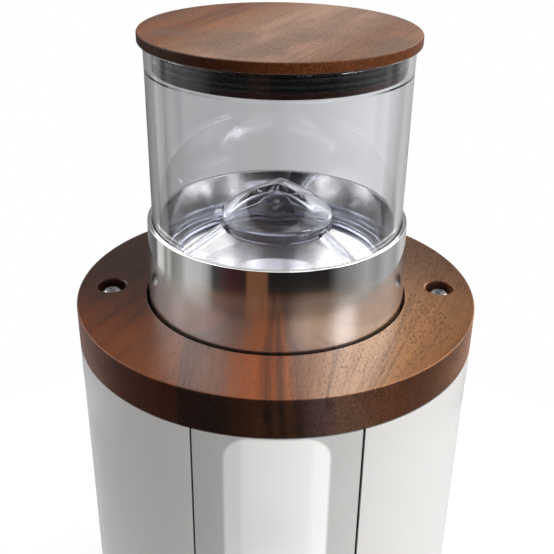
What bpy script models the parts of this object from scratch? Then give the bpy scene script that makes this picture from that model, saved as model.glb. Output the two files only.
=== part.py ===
"""Burr coffee grinder: round white body, walnut ring and lid, clear hopper.

Frame: origin on the floor at the middle of the footprint, +Z up, the front
(spout, fork and catch tray) faces -Y.  The drawing below is laid out about
the axis of the round body, and everything is moved back by AXIS_Y at the end.
Metres throughout; the helper mm() turns the drawing's millimetres into metres.
"""
import bpy
import bmesh
import math
from mathutils import Vector, Matrix

# ---------------------------------------------------------------- dimensions
BODY_R = 85.0            # outer radius of the round body and of the wood ring
RING_TOP = 300.0         # top face of the wood ring above the floor
RING_T = 17.0            # thickness of the wood ring
RING_HOLE_R = 55.8       # hole in the ring that the grind collar turns in
SCREW_PCR = 71.3         # radius on which the ring screws sit
CBORE_R = 6.2            # counterbore for the screw heads
SHELL_T = 2.5            # wall of the body shells
SHOULDER = 3.6           # rounded shoulder of the shells under the ring
SEAM = 22.0              # half angle of the front panel, degrees
REAR_HALF = 38.0         # half angle of the rear panel, degrees
SEAM_GAP = 0.9           # open joint between panels
BOSS_HALF = 21.0         # half width of the flat boss on the front panel
BOSS_TOP = 281.4         # top edge of the flat boss
COLLAR_R_LOW = 54.9      # grind collar, outer radius at its foot
COLLAR_R_TOP = 53.8      # and at its rim
COLLAR_TOP = 334.35
COLLAR_BOT = 271.0
COLLAR_BORE = 52.0
HOPPER_R_TOP = 52.0      # clear hopper, outer radius under the lid
HOPPER_R_LOW = 50.9      # and where it enters the collar
HOPPER_TOP = 406.1
HOPPER_BOT = 314.0
LID_R = 54.1
LID_TOP = 410.6
LID_T = 4.2
GUARD_R = 23.0           # bean guard skirt
GUARD_Z0 = 330.8
GUARD_APEX = 348.0
BURR_R = 32.0            # 64 mm flat burrs
BURR_HOLE_R = 19.0
BURR_GAP = 1.0
BURR_FACE = 242.0        # grinding face of the lower burr
BASE_Z0, BASE_Z1 = 8.6, 36.0
BASE_FRONT = -155.0
BASE_HALF = 56.0
SPOUT_Y = -112.0
CHUTE_SLOPE = 35.0       # degrees below level
GAP = 0.3                # clearance between neighbours
INLET_FACE = 88.0        # rearmost face, the flange of the mains inlet
AXIS_Y = -(INLET_FACE + BASE_FRONT) / 2   # body axis behind the footprint's middle
ROCKER_TILT = 8.0        # the rocker rests with its front end in

SEG = 36                 # steps of a large turned piece
SEG_M = 24               # steps of a turned piece inside
SEG_S = 16               # steps of a small turned piece


def mm(*v):
    return v[0] * 0.001 if len(v) == 1 else tuple(c * 0.001 for c in v)


# ------------------------------------------------------------------- set-up
for ob in list(bpy.data.objects):
    bpy.data.objects.remove(ob, do_unlink=True)
scene = bpy.context.scene
parts = bpy.data.collections.new("burr_coffee_grinder")
cuts = bpy.data.collections.new("cutters")
scene.collection.children.link(parts)
scene.collection.children.link(cuts)


def material(name, rgb, rough, metal=0.0, **extra):
    m = bpy.data.materials.new(name)
    m.use_nodes = True
    b = m.node_tree.nodes["Principled BSDF"]
    b.inputs["Base Color"].default_value = (rgb[0], rgb[1], rgb[2], 1.0)
    b.inputs["Roughness"].default_value = rough
    b.inputs["Metallic"].default_value = metal
    for key, val in extra.items():
        b.inputs[key.replace("_", " ")].default_value = val
    return m


WALNUT_LID = material("walnut_lid", (0.26, 0.16, 0.11), 0.45)
WALNUT = material("walnut_ring", (0.18, 0.085, 0.05), 0.42)
CLEAR = material("clear_plastic", (0.9, 0.92, 0.95), 0.03, Transmission_Weight=1.0, IOR=1.49)
CLEAR_G = material("clear_guard", (0.88, 0.9, 0.97), 0.03, Transmission_Weight=1.0, IOR=1.49)
SILICONE = material("black_silicone", (0.012, 0.012, 0.013), 0.55)
POLISHED = material("polished_steel", (0.72, 0.72, 0.71), 0.07, 1.0)
WHITE_L = material("white_gloss_left", (0.86, 0.86, 0.86), 0.18)
WHITE_R = material("white_gloss_right", (0.86, 0.86, 0.86), 0.18)
WHITE_F = material("white_gloss_front", (0.88, 0.88, 0.88), 0.18)
WHITE_B = material("white_gloss_rear", (0.86, 0.86, 0.86), 0.2)
WHITE_S = material("white_gloss_spout", (0.86, 0.86, 0.86), 0.2)
BASE_PAINT = material("white_gloss_base", (0.85, 0.85, 0.85), 0.22)
SCREW_STEEL = material("screw_steel", (0.55, 0.55, 0.56), 0.22, 1.0)
PLATE_AL = material("cast_aluminium", (0.55, 0.56, 0.57), 0.45, 1.0)
CHAMBER_AL = material("machined_aluminium", (0.62, 0.63, 0.64), 0.32, 1.0)
BURR_STEEL = material("hardened_steel", (0.42, 0.42, 0.44), 0.28, 1.0)
BRASS = material("brass_carrier", (0.72, 0.52, 0.22), 0.3, 1.0)
SPRING = material("spring_steel", (0.5, 0.5, 0.5), 0.3, 1.0)
ZINC = material("zinc_plated", (0.6, 0.61, 0.62), 0.35, 1.0)
RUBBER = material("black_rubber", (0.015, 0.015, 0.015), 0.75)
BLACK_PL = material("black_plastic", (0.02, 0.02, 0.022), 0.4)
TRAY_STEEL = material("tray_steel", (0.6, 0.6, 0.6), 0.25, 1.0)
MOTOR_PAINT = material("motor_can", (0.08, 0.085, 0.09), 0.5, 0.6)
LAMINATION = material("laminations", (0.24, 0.24, 0.26), 0.5, 0.9)
COPPERISH = material("rotor_iron", (0.3, 0.28, 0.27), 0.45, 0.9)
PCB = material("board_green", (0.02, 0.13, 0.06), 0.5)
CAP_WHITE = material("capacitor_white", (0.75, 0.75, 0.72), 0.4)


# ------------------------------------------------------------------ helpers
def put(name, me, mat=None, parent=None, loc=None, cutter=False):
    ob = bpy.data.objects.new(name, me)
    (cuts if cutter else parts).objects.link(ob)
    if cutter:
        ob.hide_render = True
        ob.display_type = "WIRE"
    elif mat is not None:
        if me.materials:
            me.materials[0] = mat
        else:
            me.materials.append(mat)
    if parent is not None:
        ob.parent = parent
    if loc is not None:
        ob.location = mm(*loc)
    return ob


def smooth(ob, angle=35.0):
    me = ob.data
    me.shade_smooth()
    me.set_sharp_from_angle(angle=math.radians(angle))


def clockwise(pts):
    area = 0.0
    for i, (r0, z0) in enumerate(pts):
        r1, z1 = pts[(i + 1) % len(pts)]
        area += r0 * z1 - r1 * z0
    return area < 0


def turned(name, pts, mat=None, steps=SEG, at=(0, 0, 0), sweep=None, start=0.0,
           wall=None, parent=None, cutter=False, rot=None):
    """Profile of (radius, height) points in mm turned about Z at 'at'.

    A profile that begins and ends on the axis stays open there; any other is
    closed, unless wall is given: then it is the skin of a shell.
    """
    pts = list(pts)
    on_axis = pts[0][0] == 0 and pts[-1][0] == 0
    if wall is None and not clockwise(pts):
        pts.reverse()
    bm = bmesh.new()
    vs = [bm.verts.new(mm(r, 0.0, z)) for r, z in pts]
    for a, b in zip(vs, vs[1:]):
        bm.edges.new((a, b))
    if wall is None and not on_axis:
        bm.edges.new((vs[-1], vs[0]))
    me = bpy.data.meshes.new(name)
    bm.to_mesh(me)
    bm.free()
    ob = put(name, me, mat, parent=parent, loc=at, cutter=cutter)
    ob.rotation_euler = rot if rot is not None else (0.0, 0.0, math.radians(start))
    sc = ob.modifiers.new("turn", "SCREW")
    sc.axis = "Z"
    sc.angle = math.radians(sweep) if sweep else 2.0 * math.pi
    sc.steps = steps
    sc.render_steps = steps
    sc.use_merge_vertices = not sweep
    sc.merge_threshold = 0.00001
    sc.use_smooth_shade = True
    if wall is not None:
        so = ob.modifiers.new("wall", "SOLIDIFY")
        so.thickness = mm(wall)
        so.offset = -1.0
        so.use_even_offset = True
    return ob


def rod(r, z0, z1):
    return [(0, z1), (r, z1), (r, z0), (0, z0)]


def tube(r_out, r_in, z0, z1):
    return [(r_out, z1), (r_out, z0), (r_in, z0), (r_in, z1)]


def box(name, lo, hi, mat=None, bevel=0.0, segs=2, parent=None, cutter=False, rot=None, about=None):
    """Box between two corners in mm; rot (Euler) turns it about its centre."""
    size = [b - a for a, b in zip(lo, hi)]
    mid = [(a + b) * 0.5 for a, b in zip(lo, hi)]
    bm = bmesh.new()
    bmesh.ops.create_cube(bm, size=1.0)
    bmesh.ops.scale(bm, vec=Vector(mm(*size)), verts=bm.verts)
    me = bpy.data.meshes.new(name)
    bm.to_mesh(me)
    bm.free()
    ob = put(name, me, mat, parent=parent, loc=mid, cutter=cutter)
    if rot is not None:
        ob.rotation_euler = rot
    if bevel > 0:
        bv = ob.modifiers.new("edges", "BEVEL")
        bv.width = mm(bevel)
        bv.segments = segs
        bv.limit_method = "ANGLE"
        bv.angle_limit = math.radians(40)
    return ob


def boxes(name, items, cutter=True, mat=None):
    """Several separate boxes in one mesh: each item is (size, Matrix) in mm."""
    bm = bmesh.new()
    for size, mat4 in items:
        made = bmesh.ops.create_cube(bm, size=1.0)["verts"]
        bmesh.ops.scale(bm, vec=Vector(size), verts=made)
        bmesh.ops.transform(bm, matrix=mat4, verts=made)
    bmesh.ops.scale(bm, vec=Vector((0.001, 0.001, 0.001)), verts=bm.verts)
    me = bpy.data.meshes.new(name)
    bm.to_mesh(me)
    bm.free()
    return put(name, me, mat, cutter=cutter)


def boolean(ob, cutter, op="DIFFERENCE"):
    b = ob.modifiers.new(op.lower(), "BOOLEAN")
    b.operation = op
    b.solver = "EXACT"
    b.object = cutter
    return b


def cyl_between(name, a, b, r, verts=SEG_S, mat=None, cutter=True, parent=None):
    """Round bar between two points in mm."""
    a, b = Vector(a), Vector(b)
    d = b - a
    bm = bmesh.new()
    bmesh.ops.create_cone(bm, cap_ends=True, segments=verts, radius1=mm(r), radius2=mm(r),
                          depth=d.length * 0.001)
    me = bpy.data.meshes.new(name)
    bm.to_mesh(me)
    bm.free()
    ob = put(name, me, mat, parent=parent, cutter=cutter)
    ob.rotation_mode = "QUATERNION"
    ob.rotation_quaternion = d.to_track_quat("Z", "Y")
    ob.location = (a + b) * 0.5 * 0.001
    return ob


def curve_mesh(name, spline_pts, mat, bevel=None, closed=False, flat=None, res=2, cutter=False):
    """Wire (bevel radius in mm) or flat outline (flat = half thickness in mm)."""
    cu = bpy.data.curves.new(name, "CURVE")
    cu.dimensions = "3D" if bevel else "2D"
    sp = cu.splines.new("POLY")
    sp.points.add(len(spline_pts) - 1)
    for p, q in zip(sp.points, spline_pts):
        p.co = (*mm(*q), 1.0)
    sp.use_cyclic_u = closed
    cu.render_resolution_u = 0
    if bevel:
        cu.bevel_depth = mm(bevel)
        cu.bevel_resolution = res
        cu.use_fill_caps = True
    else:
        cu.fill_mode = "BOTH"
        cu.extrude = mm(flat)
    ob = bpy.data.objects.new(name + "_curve", cu)
    scene.collection.objects.link(ob)
    dg = bpy.context.evaluated_depsgraph_get()
    dg.update()
    me = bpy.data.meshes.new_from_object(ob.evaluated_get(dg))
    me.name = name
    mw = ob.matrix_world.copy()
    bpy.data.objects.remove(ob, do_unlink=True)
    bm = bmesh.new()
    bm.from_mesh(me)
    bmesh.ops.remove_doubles(bm, verts=bm.verts, dist=1e-6)
    bmesh.ops.recalc_face_normals(bm, faces=bm.faces)
    bm.to_mesh(me)
    bm.free()
    new = put(name, me, mat, cutter=cutter)
    new.matrix_world = mw
    return new


def arc(cx, cy, r, a0, a1, n):
    return [(cx + r * math.cos(math.radians(a0 + (a1 - a0) * i / n)),
             cy + r * math.sin(math.radians(a0 + (a1 - a0) * i / n))) for i in range(n + 1)]


def smoothed(points, per=4):
    """Catmull-Rom curve through the given points."""
    pts = [Vector(p) for p in points]
    out = []
    for i in range(len(pts) - 1):
        p0 = pts[max(i - 1, 0)]
        p1, p2 = pts[i], pts[i + 1]
        p3 = pts[min(i + 2, len(pts) - 1)]
        for k in range(per):
            t = k / per
            out.append(0.5 * ((2 * p1) + (p2 - p0) * t + (2 * p0 - 5 * p1 + 4 * p2 - p3) * t * t
                              + (3 * p1 - p0 - 3 * p2 + p3) * t ** 3))
    out.append(pts[-1])
    return out


def empty(name, loc, parent=None):
    e = bpy.data.objects.new(name, None)
    parts.objects.link(e)
    e.location = mm(*loc)
    if parent is not None:
        e.parent = parent
    return e


# ------------------------------------------------------------ moving frames
# Every moving group hangs on an empty that stands on its joint's axis.
collar_axis = empty("collar_axis", (0, 0, 0))
carrier_axis = empty("carrier_axis", (0, 0, 0), collar_axis)
hopper_axis = empty("hopper_axis", (0, 0, 0), collar_axis)
lid_axis = empty("lid_axis", (0, 0, 0), hopper_axis)
drive_axis = empty("drive_axis", (0, 0, 0))

# ------------------------------------------------------------------ the lid
z_under = LID_TOP - LID_T
lid = turned("lid", [
    (0, LID_TOP), (LID_R - 1.0, LID_TOP), (LID_R, LID_TOP - 1.0),
    (LID_R, z_under + 0.6), (LID_R - 0.6, z_under), (48.2, z_under), (48.2, z_under - 1.8),
    (45.0, z_under - 1.8), (45.0, 398.7), (48.6, 398.7), (48.6, 396.5), (0, 396.5)],
    WALNUT_LID, parent=lid_axis)
lid_seal = turned("lid_seal", [
    (46.6, 404.3), (49.2, 404.0), (49.2, 403.2), (47.4, 402.6), (49.2, 401.4), (49.2, 400.6),
    (47.4, 400.0), (49.0, 399.5), (49.0, 399.0), (45.3, 399.0), (45.3, 404.3)], SILICONE, steps=32, parent=lid_axis)

# --------------------------------------------------------------- the hopper
hopper = turned("hopper", [
    (HOPPER_R_TOP, HOPPER_TOP), (51.85, 396.0), (HOPPER_R_LOW, 334.4), (50.4, HOPPER_BOT),
    (44.4, HOPPER_BOT), (44.4, 316.8), (47.6, 317.0), (48.5, 320.0), (49.3, 395.6), (49.6, 396.4),
    (49.6, HOPPER_TOP)],
    CLEAR, parent=hopper_axis)

# bean guard: a soft three-sided cap on a round skirt, carried by three legs
GUARD_LEGS = (81.5, 201.5, 321.5)


def guard_height(r, ang):
    """Height of the cap's outer skin above the skirt's top edge.

    Three ridges run out to the legs; the faces between them sag a little.
    """
    t = min(max(r / GUARD_R, 0.0), 1.0)
    off = abs((ang - GUARD_LEGS[0] + 60.0) % 120.0 - 60.0) / 60.0
    sag = 0.32 * (1.0 - (1.0 - off) ** 1.3)
    blend = min(t / 0.35, 1.0)
    return (GUARD_APEX - 336.2) * (1.0 - t ** 2.8) * (1.0 - sag * blend * blend * (3.0 - 2.0 * blend))


def guard_skin():
    """Cap and skirt as one open skin, apex down to the skirt's lower edge."""
    bm = bmesh.new()
    n = 27
    rings = []
    radii = [6.0, 12.0, 18.0, GUARD_R]
    top = bm.verts.new(mm(0, 0, 336.2 + guard_height(0.0, 0.0)))
    for r in radii:
        ring = []
        for k in range(n):
            ang = 360.0 * k / n + GUARD_LEGS[0]
            z = 336.2 + guard_height(r, ang) - (0.5 if r == GUARD_R else 0.0)
            ring.append(bm.verts.new(mm(r * math.cos(math.radians(ang)), r * math.sin(math.radians(ang)), z)))
        rings.append(ring)
    low = []
    for k in range(n):
        ang = 360.0 * k / n + GUARD_LEGS[0]
        low.append(bm.verts.new(mm(23.3 * math.cos(math.radians(ang)), 23.3 * math.sin(math.radians(ang)), GUARD_Z0)))
    rings.append(low)
    for k in range(n):
        bm.faces.new((top, rings[0][k], rings[0][(k + 1) % n]))
    for a, b in zip(rings, rings[1:]):
        for k in range(n):
            bm.faces.new((a[k], b[k], b[(k + 1) % n], a[(k + 1) % n]))
    me = bpy.data.meshes.new("bean_guard")
    bm.to_mesh(me)
    bm.free()
    return me


bean_guard = put("bean_guard", guard_skin(), CLEAR_G, parent=hopper_axis)
so = bean_guard.modifiers.new("wall", "SOLIDIFY")
so.thickness = mm(2.2)
so.offset = -1.0
leg_items = []
for ang in GUARD_LEGS:
    c, s = math.cos(math.radians(ang)), math.sin(math.radians(ang))
    p0, p1 = Vector((22.4 * c, 22.4 * s, 332.6)), Vector((46.6 * c, 46.6 * s, 318.6))
    d = p1 - p0
    yaw = Matrix.Rotation(math.radians(ang), 4, "Z")
    pitch = Matrix.Rotation(math.atan2(-d.z, math.hypot(d.x, d.y)), 4, "Y")
    leg_items.append(((d.length, 5.0, 2.4), Matrix.Translation((p0 + p1) * 0.5) @ yaw @ pitch))
legs = boxes("guard_legs_cutter", leg_items)
legs.parent = hopper_axis
boolean(bean_guard, legs, "UNION")

# ---------------------------------------------------------- the grind collar
grind_collar = turned("grind_collar", [
    (COLLAR_R_TOP, COLLAR_TOP), (COLLAR_R_LOW - 0.2, 300.0), (COLLAR_R_LOW, COLLAR_BOT),
    (51.9, COLLAR_BOT), (51.8, 304.5), (44.4, 308.6), (26.2, 289.0), (26.2, 276.8), (23.6, 276.8),
    (23.6, 290.2), (43.8, 312.4), (51.2, 313.6), (COLLAR_BORE, 316.0), (COLLAR_BORE, COLLAR_TOP)],
    POLISHED, parent=collar_axis)

# ------------------------------------------------------------- the wood ring
ring_z0 = RING_TOP - RING_T
wood_ring = turned("wood_ring", [
    (BODY_R - 0.8, RING_TOP), (BODY_R, RING_TOP - 0.8), (BODY_R, ring_z0), (RING_HOLE_R, ring_z0),
    (RING_HOLE_R, RING_TOP)], WALNUT, steps=44)
SCREWS = {"left": 180.0, "right": 0.0, "rear": 90.0}
HEAD_TOP = 297.8
for side, ang in SCREWS.items():
    x, y = SCREW_PCR * math.cos(math.radians(ang)), SCREW_PCR * math.sin(math.radians(ang))
    bore = turned("ring_bore_" + side, [(0, RING_TOP + 2), (CBORE_R, RING_TOP + 2), (CBORE_R, 292.2),
                                        (3.4, 292.2), (3.4, ring_z0 - 2), (0, ring_z0 - 2)],
                  steps=SEG_S, at=(x, y, 0), cutter=True)
    boolean(wood_ring, bore)
    screw = turned("ring_screw_" + side, [
        (0, HEAD_TOP), (3.4, HEAD_TOP - 0.2), (5.25, HEAD_TOP - 2.2), (5.25, 292.5), (3.0, 292.5),
        (3.0, 266.0), (0, 266.0)], SCREW_STEEL, steps=12, at=(x, y, 0))
    hexa = cyl_between("ring_hex_" + side, (x, y, HEAD_TOP - 2.3), (x, y, HEAD_TOP + 2), 2.31, verts=6)
    boolean(screw, hexa)

# ------------------------------------------------------------- top structure
top_plate = turned("top_plate", tube(81.6, 55.9, 271.2, 279.8), PLATE_AL)
for side, ang in SCREWS.items():
    x, y = SCREW_PCR * math.cos(math.radians(ang)), SCREW_PCR * math.sin(math.radians(ang))
    boolean(top_plate, cyl_between("plate_hole_" + side, (x, y, 265), (x, y, 285), 3.4, verts=16))

# ------------------------------------------------------------ the body shells
shell_top = ring_z0 - GAP
shell_bot = BASE_Z1 + GAP
rise = shell_top - SHOULDER
skin = [(72.0, shell_top), (BODY_R - SHOULDER, shell_top)]
skin += [(BODY_R - SHOULDER + SHOULDER * math.sin(math.radians(a)), rise + SHOULDER * math.cos(math.radians(a)))
         for a in (30.0, 60.0)]
skin += [(BODY_R, rise), (BODY_R, shell_bot)]
half_gap = math.degrees(SEAM_GAP * 0.5 / BODY_R)
f0, f1 = 270.0 - SEAM, 270.0 + SEAM
r0, r1 = 90.0 - REAR_HALF, 90.0 + REAR_HALF
side_shell_right = turned("side_shell_right", skin, WHITE_R, steps=16, start=f1 - 360.0 + half_gap,
                          sweep=(r0 - half_gap) - (f1 - 360.0 + half_gap), wall=SHELL_T)
side_shell_left = turned("side_shell_left", skin, WHITE_L, steps=16, start=r1 + half_gap,
                         sweep=(f0 - half_gap) - (r1 + half_gap), wall=SHELL_T)
front_panel = turned("front_panel", skin, WHITE_F, steps=8, start=f0 + half_gap,
                     sweep=2 * (SEAM - half_gap), wall=SHELL_T)
rear_panel = turned("rear_panel", skin, WHITE_B, steps=10, start=r0 + half_gap,
                    sweep=2 * (REAR_HALF - half_gap), wall=SHELL_T)
# the ring screws pass through the shells' top flanges
for side, ob in (("left", side_shell_left), ("right", side_shell_right), ("rear", rear_panel)):
    x, y = SCREW_PCR * math.cos(math.radians(SCREWS[side])), SCREW_PCR * math.sin(math.radians(SCREWS[side]))
    boolean(ob, cyl_between("flange_hole_" + side, (x, y, 270), (x, y, 290), 3.6, verts=16))

# flat boss on the front panel, level with the round body at the middle
boss_out = [(x, z) for x, z in arc(BOSS_HALF - 7, BOSS_TOP - 7, 7, 0, 90, 5)]
boss_out += [(-x, z) for x, z in reversed(boss_out)]
boss_out += [(-BOSS_HALF, shell_bot + 8), (-BOSS_HALF + 8, shell_bot), (BOSS_HALF - 8, shell_bot), (BOSS_HALF, shell_bot + 8)]
BOSS_FACE = BODY_R + 0.35
boss = curve_mesh("boss_cutter", [(x, z, 0) for x, z in boss_out], None, closed=True, flat=1.7, cutter=True)
boss.rotation_euler = (math.radians(90), 0, 0)
boss.location = mm(0, -(BOSS_FACE - 1.7), 0)
boolean(front_panel, boss, "UNION")

# ------------------------------------------------------------------ the base
c_ang = math.degrees(math.asin(BASE_HALF / BODY_R))          # where the sides meet the round


def base_outline(inset):
    r = BODY_R - inset
    h = BASE_HALF - inset
    a = math.degrees(math.asin(h / r))
    cr = 24.0 - inset * 0.6
    fy = BASE_FRONT + inset
    out = arc(0, 0, r, -90 + a, 270 - a, 20)
    out += arc(-h + cr, fy + cr, cr, 180, 270, 4)
    out += arc(h - cr, fy + cr, cr, 270, 360, 4)
    return out


base_casting = curve_mesh("base_casting", [(x, y, 0) for x, y in base_outline(0.0)], BASE_PAINT,
                          closed=True, flat=(BASE_Z1 - BASE_Z0) / 2)
base_casting.location = mm(0, 0, (BASE_Z1 + BASE_Z0) / 2)
bv = base_casting.modifiers.new("edges", "BEVEL")
bv.width = mm(1.6)
bv.segments = 1
bv.limit_method = "ANGLE"
bv.angle_limit = math.radians(60)
hollow = curve_mesh("base_hollow_cutter", [(x, y, 0) for x, y in base_outline(7.0)], None,
                    closed=True, flat=10.0, cutter=True)
hollow.location = mm(0, 0, 14.0)
boolean(base_casting, hollow)
TRAY_LO, TRAY_HI = (-46.0, -147.0, 28.5), (46.0, -92.0, 42.0)
boolean(base_casting, box("tray_recess_cutter", TRAY_LO, TRAY_HI, cutter=True))
# rocker switch opening in the right flank of the base
RK = (BASE_HALF, -104.0, 18.5)
boolean(base_casting, box("rocker_hole_cutter", (RK[0] - 9.0, RK[1] - 9.6, RK[2] - 6.6),
                          (RK[0] + 5.0, RK[1] + 9.6, RK[2] + 6.6), cutter=True))
# a way down for the air and for the wiring
boolean(base_casting, cyl_between("base_vent_cutter", (0, 0, 20), (0, 0, 40), 34.0, verts=32))

base_cover = curve_mesh("base_cover", [(x, y, 0) for x, y in base_outline(2.0)], ZINC, closed=True, flat=0.85)
base_cover.location = mm(0, 0, BASE_Z0 - GAP - 0.85)
FEET = {"front_left": (-38, -132), "front_right": (38, -132), "rear_left": (-48, 52), "rear_right": (48, 52)}
for k, (x, y) in FEET.items():
    turned("foot_" + k, [(0, 6.3), (12.0, 6.3), (12.5, 5.6), (11.0, 0.6), (10.4, 0.0), (0, 0.0)],
           RUBBER, steps=SEG_S, at=(x, y, 0))

tray_out = box("catch_tray", (TRAY_LO[0] + 0.5, TRAY_LO[1] + 0.5, TRAY_LO[2] + 0.3),
               (TRAY_HI[0] - 0.5, TRAY_HI[1] - 0.5, 40.0), TRAY_STEEL, bevel=1.6)
boolean(tray_out, box("tray_dish_cutter", (TRAY_LO[0] + 2.2, TRAY_LO[1] + 2.2, TRAY_LO[2] + 2.0),
                      (TRAY_HI[0] - 2.2, TRAY_HI[1] - 2.2, 50.0), cutter=True))

# --------------------------------------------------------------- the chassis
POSTS = {"front_left": 218.0, "front_right": 322.0, "rear_left": 135.0, "rear_right": 45.0}
for k, ang in POSTS.items():
    x, y = 70.0 * math.cos(math.radians(ang)), 70.0 * math.sin(math.radians(ang))
    turned("chassis_post_" + k, rod(5.0, BASE_Z1 + GAP, 271.2 - GAP), ZINC, steps=16, at=(x, y, 0))

# ------------------------------------------------------------ burr chamber
slope = Vector((0, -math.cos(math.radians(CHUTE_SLOPE)), -math.sin(math.radians(CHUTE_SLOPE))))
CH0 = Vector((0, -36.0, 234.8))


def on_chute(y):
    return CH0 + slope * ((y - CH0.y) / slope.y)


burr_chamber = turned("burr_chamber", [
    (62.0, 270.7), (62.0, 262.5), (50.0, 260.0), (50.0, 214.0), (17.9, 214.0), (17.9, 220.0),
    (8.2, 220.0), (8.2, 226.5), (37.5, 226.5), (37.5, 250.0), (43.0, 250.0), (43.0, 270.7)], CHAMBER_AL, steps=28)
boolean(burr_chamber, cyl_between("chamber_port_cutter", on_chute(-36.5), on_chute(-64), 11.5))

# upper burr and its threaded carrier, which the collar turns
upper_burr_carrier = turned("upper_burr_carrier", [
    (42.6, 270.0), (42.6, 262.3), (37.1, 262.3), (37.1, 252.0), (19.6, 252.0), (19.6, 282.0), (23.2, 282.0),
    (23.2, 270.0)], BRASS, steps=SEG_M, parent=carrier_axis)
up_face = BURR_FACE + BURR_GAP
upper_burr = turned("upper_burr", [
    (BURR_R, 251.7), (BURR_R, up_face), (27.0, up_face), (BURR_HOLE_R + 1.4, up_face + 3.0),
    (BURR_HOLE_R, up_face + 3.6), (BURR_HOLE_R, 251.7)], BURR_STEEL, steps=SEG_M, parent=carrier_axis)
lower_burr = turned("lower_burr", [
    (BURR_R, BURR_FACE), (BURR_R, 233.3), (BURR_HOLE_R, 233.3), (BURR_HOLE_R, BURR_FACE - 3.6),
    (BURR_HOLE_R + 1.4, BURR_FACE - 3.0), (27.0, BURR_FACE)], BURR_STEEL, steps=SEG_M, parent=drive_axis)


def groove_items(zc, skew, count=10):
    items = []
    for k in range(count):
        yaw = Matrix.Rotation(math.radians(360.0 * k / count), 4, "Z")
        cant = Matrix.Rotation(math.radians(skew), 4, "Z")
        items.append(((18.0, 1.8, 2.4), yaw @ Matrix.Translation((26.0, 0, zc)) @ cant))
    return items


boolean(upper_burr, boxes("upper_groove_cutter", groove_items(up_face, 20.0)))
boolean(lower_burr, boxes("lower_groove_cutter", groove_items(BURR_FACE, 20.0)))

lower_burr_carrier = turned("lower_burr_carrier", [
    (33.0, 233.0), (33.0, 228.6), (9.5, 228.6), (9.5, 227.6), (7.3, 227.6), (7.3, 236.5), (17.5, 236.5),
    (18.6, 234.6), (18.6, 233.0)], CHAMBER_AL, steps=SEG_M, parent=drive_axis)
vanes = []
for k in range(3):
    yaw = Matrix.Rotation(math.radians(120.0 * k + 30.0), 4, "Z")
    vanes.append(((6.5, 4.0, 9.0), yaw @ Matrix.Translation((33.5, 0, 232.2))))
vane = boxes("sweeper_vanes_cutter", [((4.4, 4.0, 9.2), m @ Matrix.Translation((1.05, 0, 0))) for s, m in vanes])
boolean(lower_burr_carrier, vane, "UNION")
burr_nut = turned("burr_nut", rod(9.0, 236.8, 243.5), ZINC, steps=6, parent=drive_axis)
boolean(burr_nut, cyl_between("nut_bore_cutter", (0, 0, 230), (0, 0, 250), 5.3, verts=16))

n_turn, per = 2.2, 12
coil = [(40.2 * math.cos(2 * math.pi * i / per), 40.2 * math.sin(2 * math.pi * i / per),
         251.3 + (260.9 - 251.3) * i / (n_turn * per)) for i in range(int(n_turn * per) + 1)]
carrier_spring = curve_mesh("carrier_spring", coil, SPRING, bevel=0.9)

# ------------------------------------------------------- chute, spout, fork
chute = cyl_between("chute", on_chute(-44), on_chute(-92), 13.4, mat=BLACK_PL, cutter=False)
boolean(chute, cyl_between("chute_bore_cutter", on_chute(-38), on_chute(-98), 11.5))
boolean(chute, turned("chute_back_cutter", rod(50.35, 190, 262), cutter=True, steps=96))
boolean(chute, box("chute_front_cutter", (-30, -130, 150), (30, -BOSS_FACE + 0.1, 260), cutter=True))
boolean(front_panel, cyl_between("panel_port_cutter", on_chute(-70), on_chute(-100), 14.2))

spout_side = [(-85.7, 221.0), (-96.0, 221.0)] + [(y, z) for y, z in arc(-104.0, 197.0, 25.0, 76, 178, 6)]
spout_side = [(-85.7, 221.5), (-102.0, 221.5)] + arc(-106.0, 199.5, 22.0, 90, 180, 6)[1:] + \
    [(-128.0, 176.0), (-124.0, 168.0), (-100.0, 168.0), (-85.7, 178.0)]
spout_housing = curve_mesh("spout_housing", [(y, z, 0) for y, z in spout_side], WHITE_S, closed=True, flat=18.5)
spout_housing.rotation_euler = (math.radians(90), 0, math.radians(90))
bv = spout_housing.modifiers.new("edges", "BEVEL")
bv.width = mm(2.0)
bv.segments = 2
bv.limit_method = "ANGLE"
bv.angle_limit = math.radians(60)
boolean(spout_housing, cyl_between("spout_slant_cutter", on_chute(-80), on_chute(-112), 11.5))
boolean(spout_housing, cyl_between("spout_down_cutter", (0, SPOUT_Y, 160), (0, SPOUT_Y, 191), 11.6))
spout_nozzle = turned("spout_nozzle", [
    (15.5, 167.7), (15.0, 163.0), (11.0, 150.0), (9.4, 150.0), (12.6, 163.0), (12.9, 167.7)],
    SILICONE, at=(0, SPOUT_Y, 0), steps=24)

FORK_Z, FORK_R = 128.0, 3.0
fork_bracket = box("fork_bracket", (-27, -BOSS_FACE - GAP - 4.0, 98), (27, -BOSS_FACE - GAP, 141), ZINC, bevel=1.2)
bracket_front = -BOSS_FACE - GAP - 4.0
cross_y = bracket_front - GAP - FORK_R
half = [(0, cross_y, FORK_Z), (11, cross_y, FORK_Z), (16.0, cross_y - 2.0, FORK_Z), (18.0, cross_y - 8.0, FORK_Z),
        (18.0, -118, FORK_Z), (18.0, -134, FORK_Z), (18.3, -141, FORK_Z + 1.6), (18.6, -145, FORK_Z + 6.5)]
full = [(-x, y, z) for x, y, z in reversed(half[1:])] + half
portafilter_fork = curve_mesh("portafilter_fork", [tuple(p) for p in smoothed(full, 2)], POLISHED, bevel=FORK_R)

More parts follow.
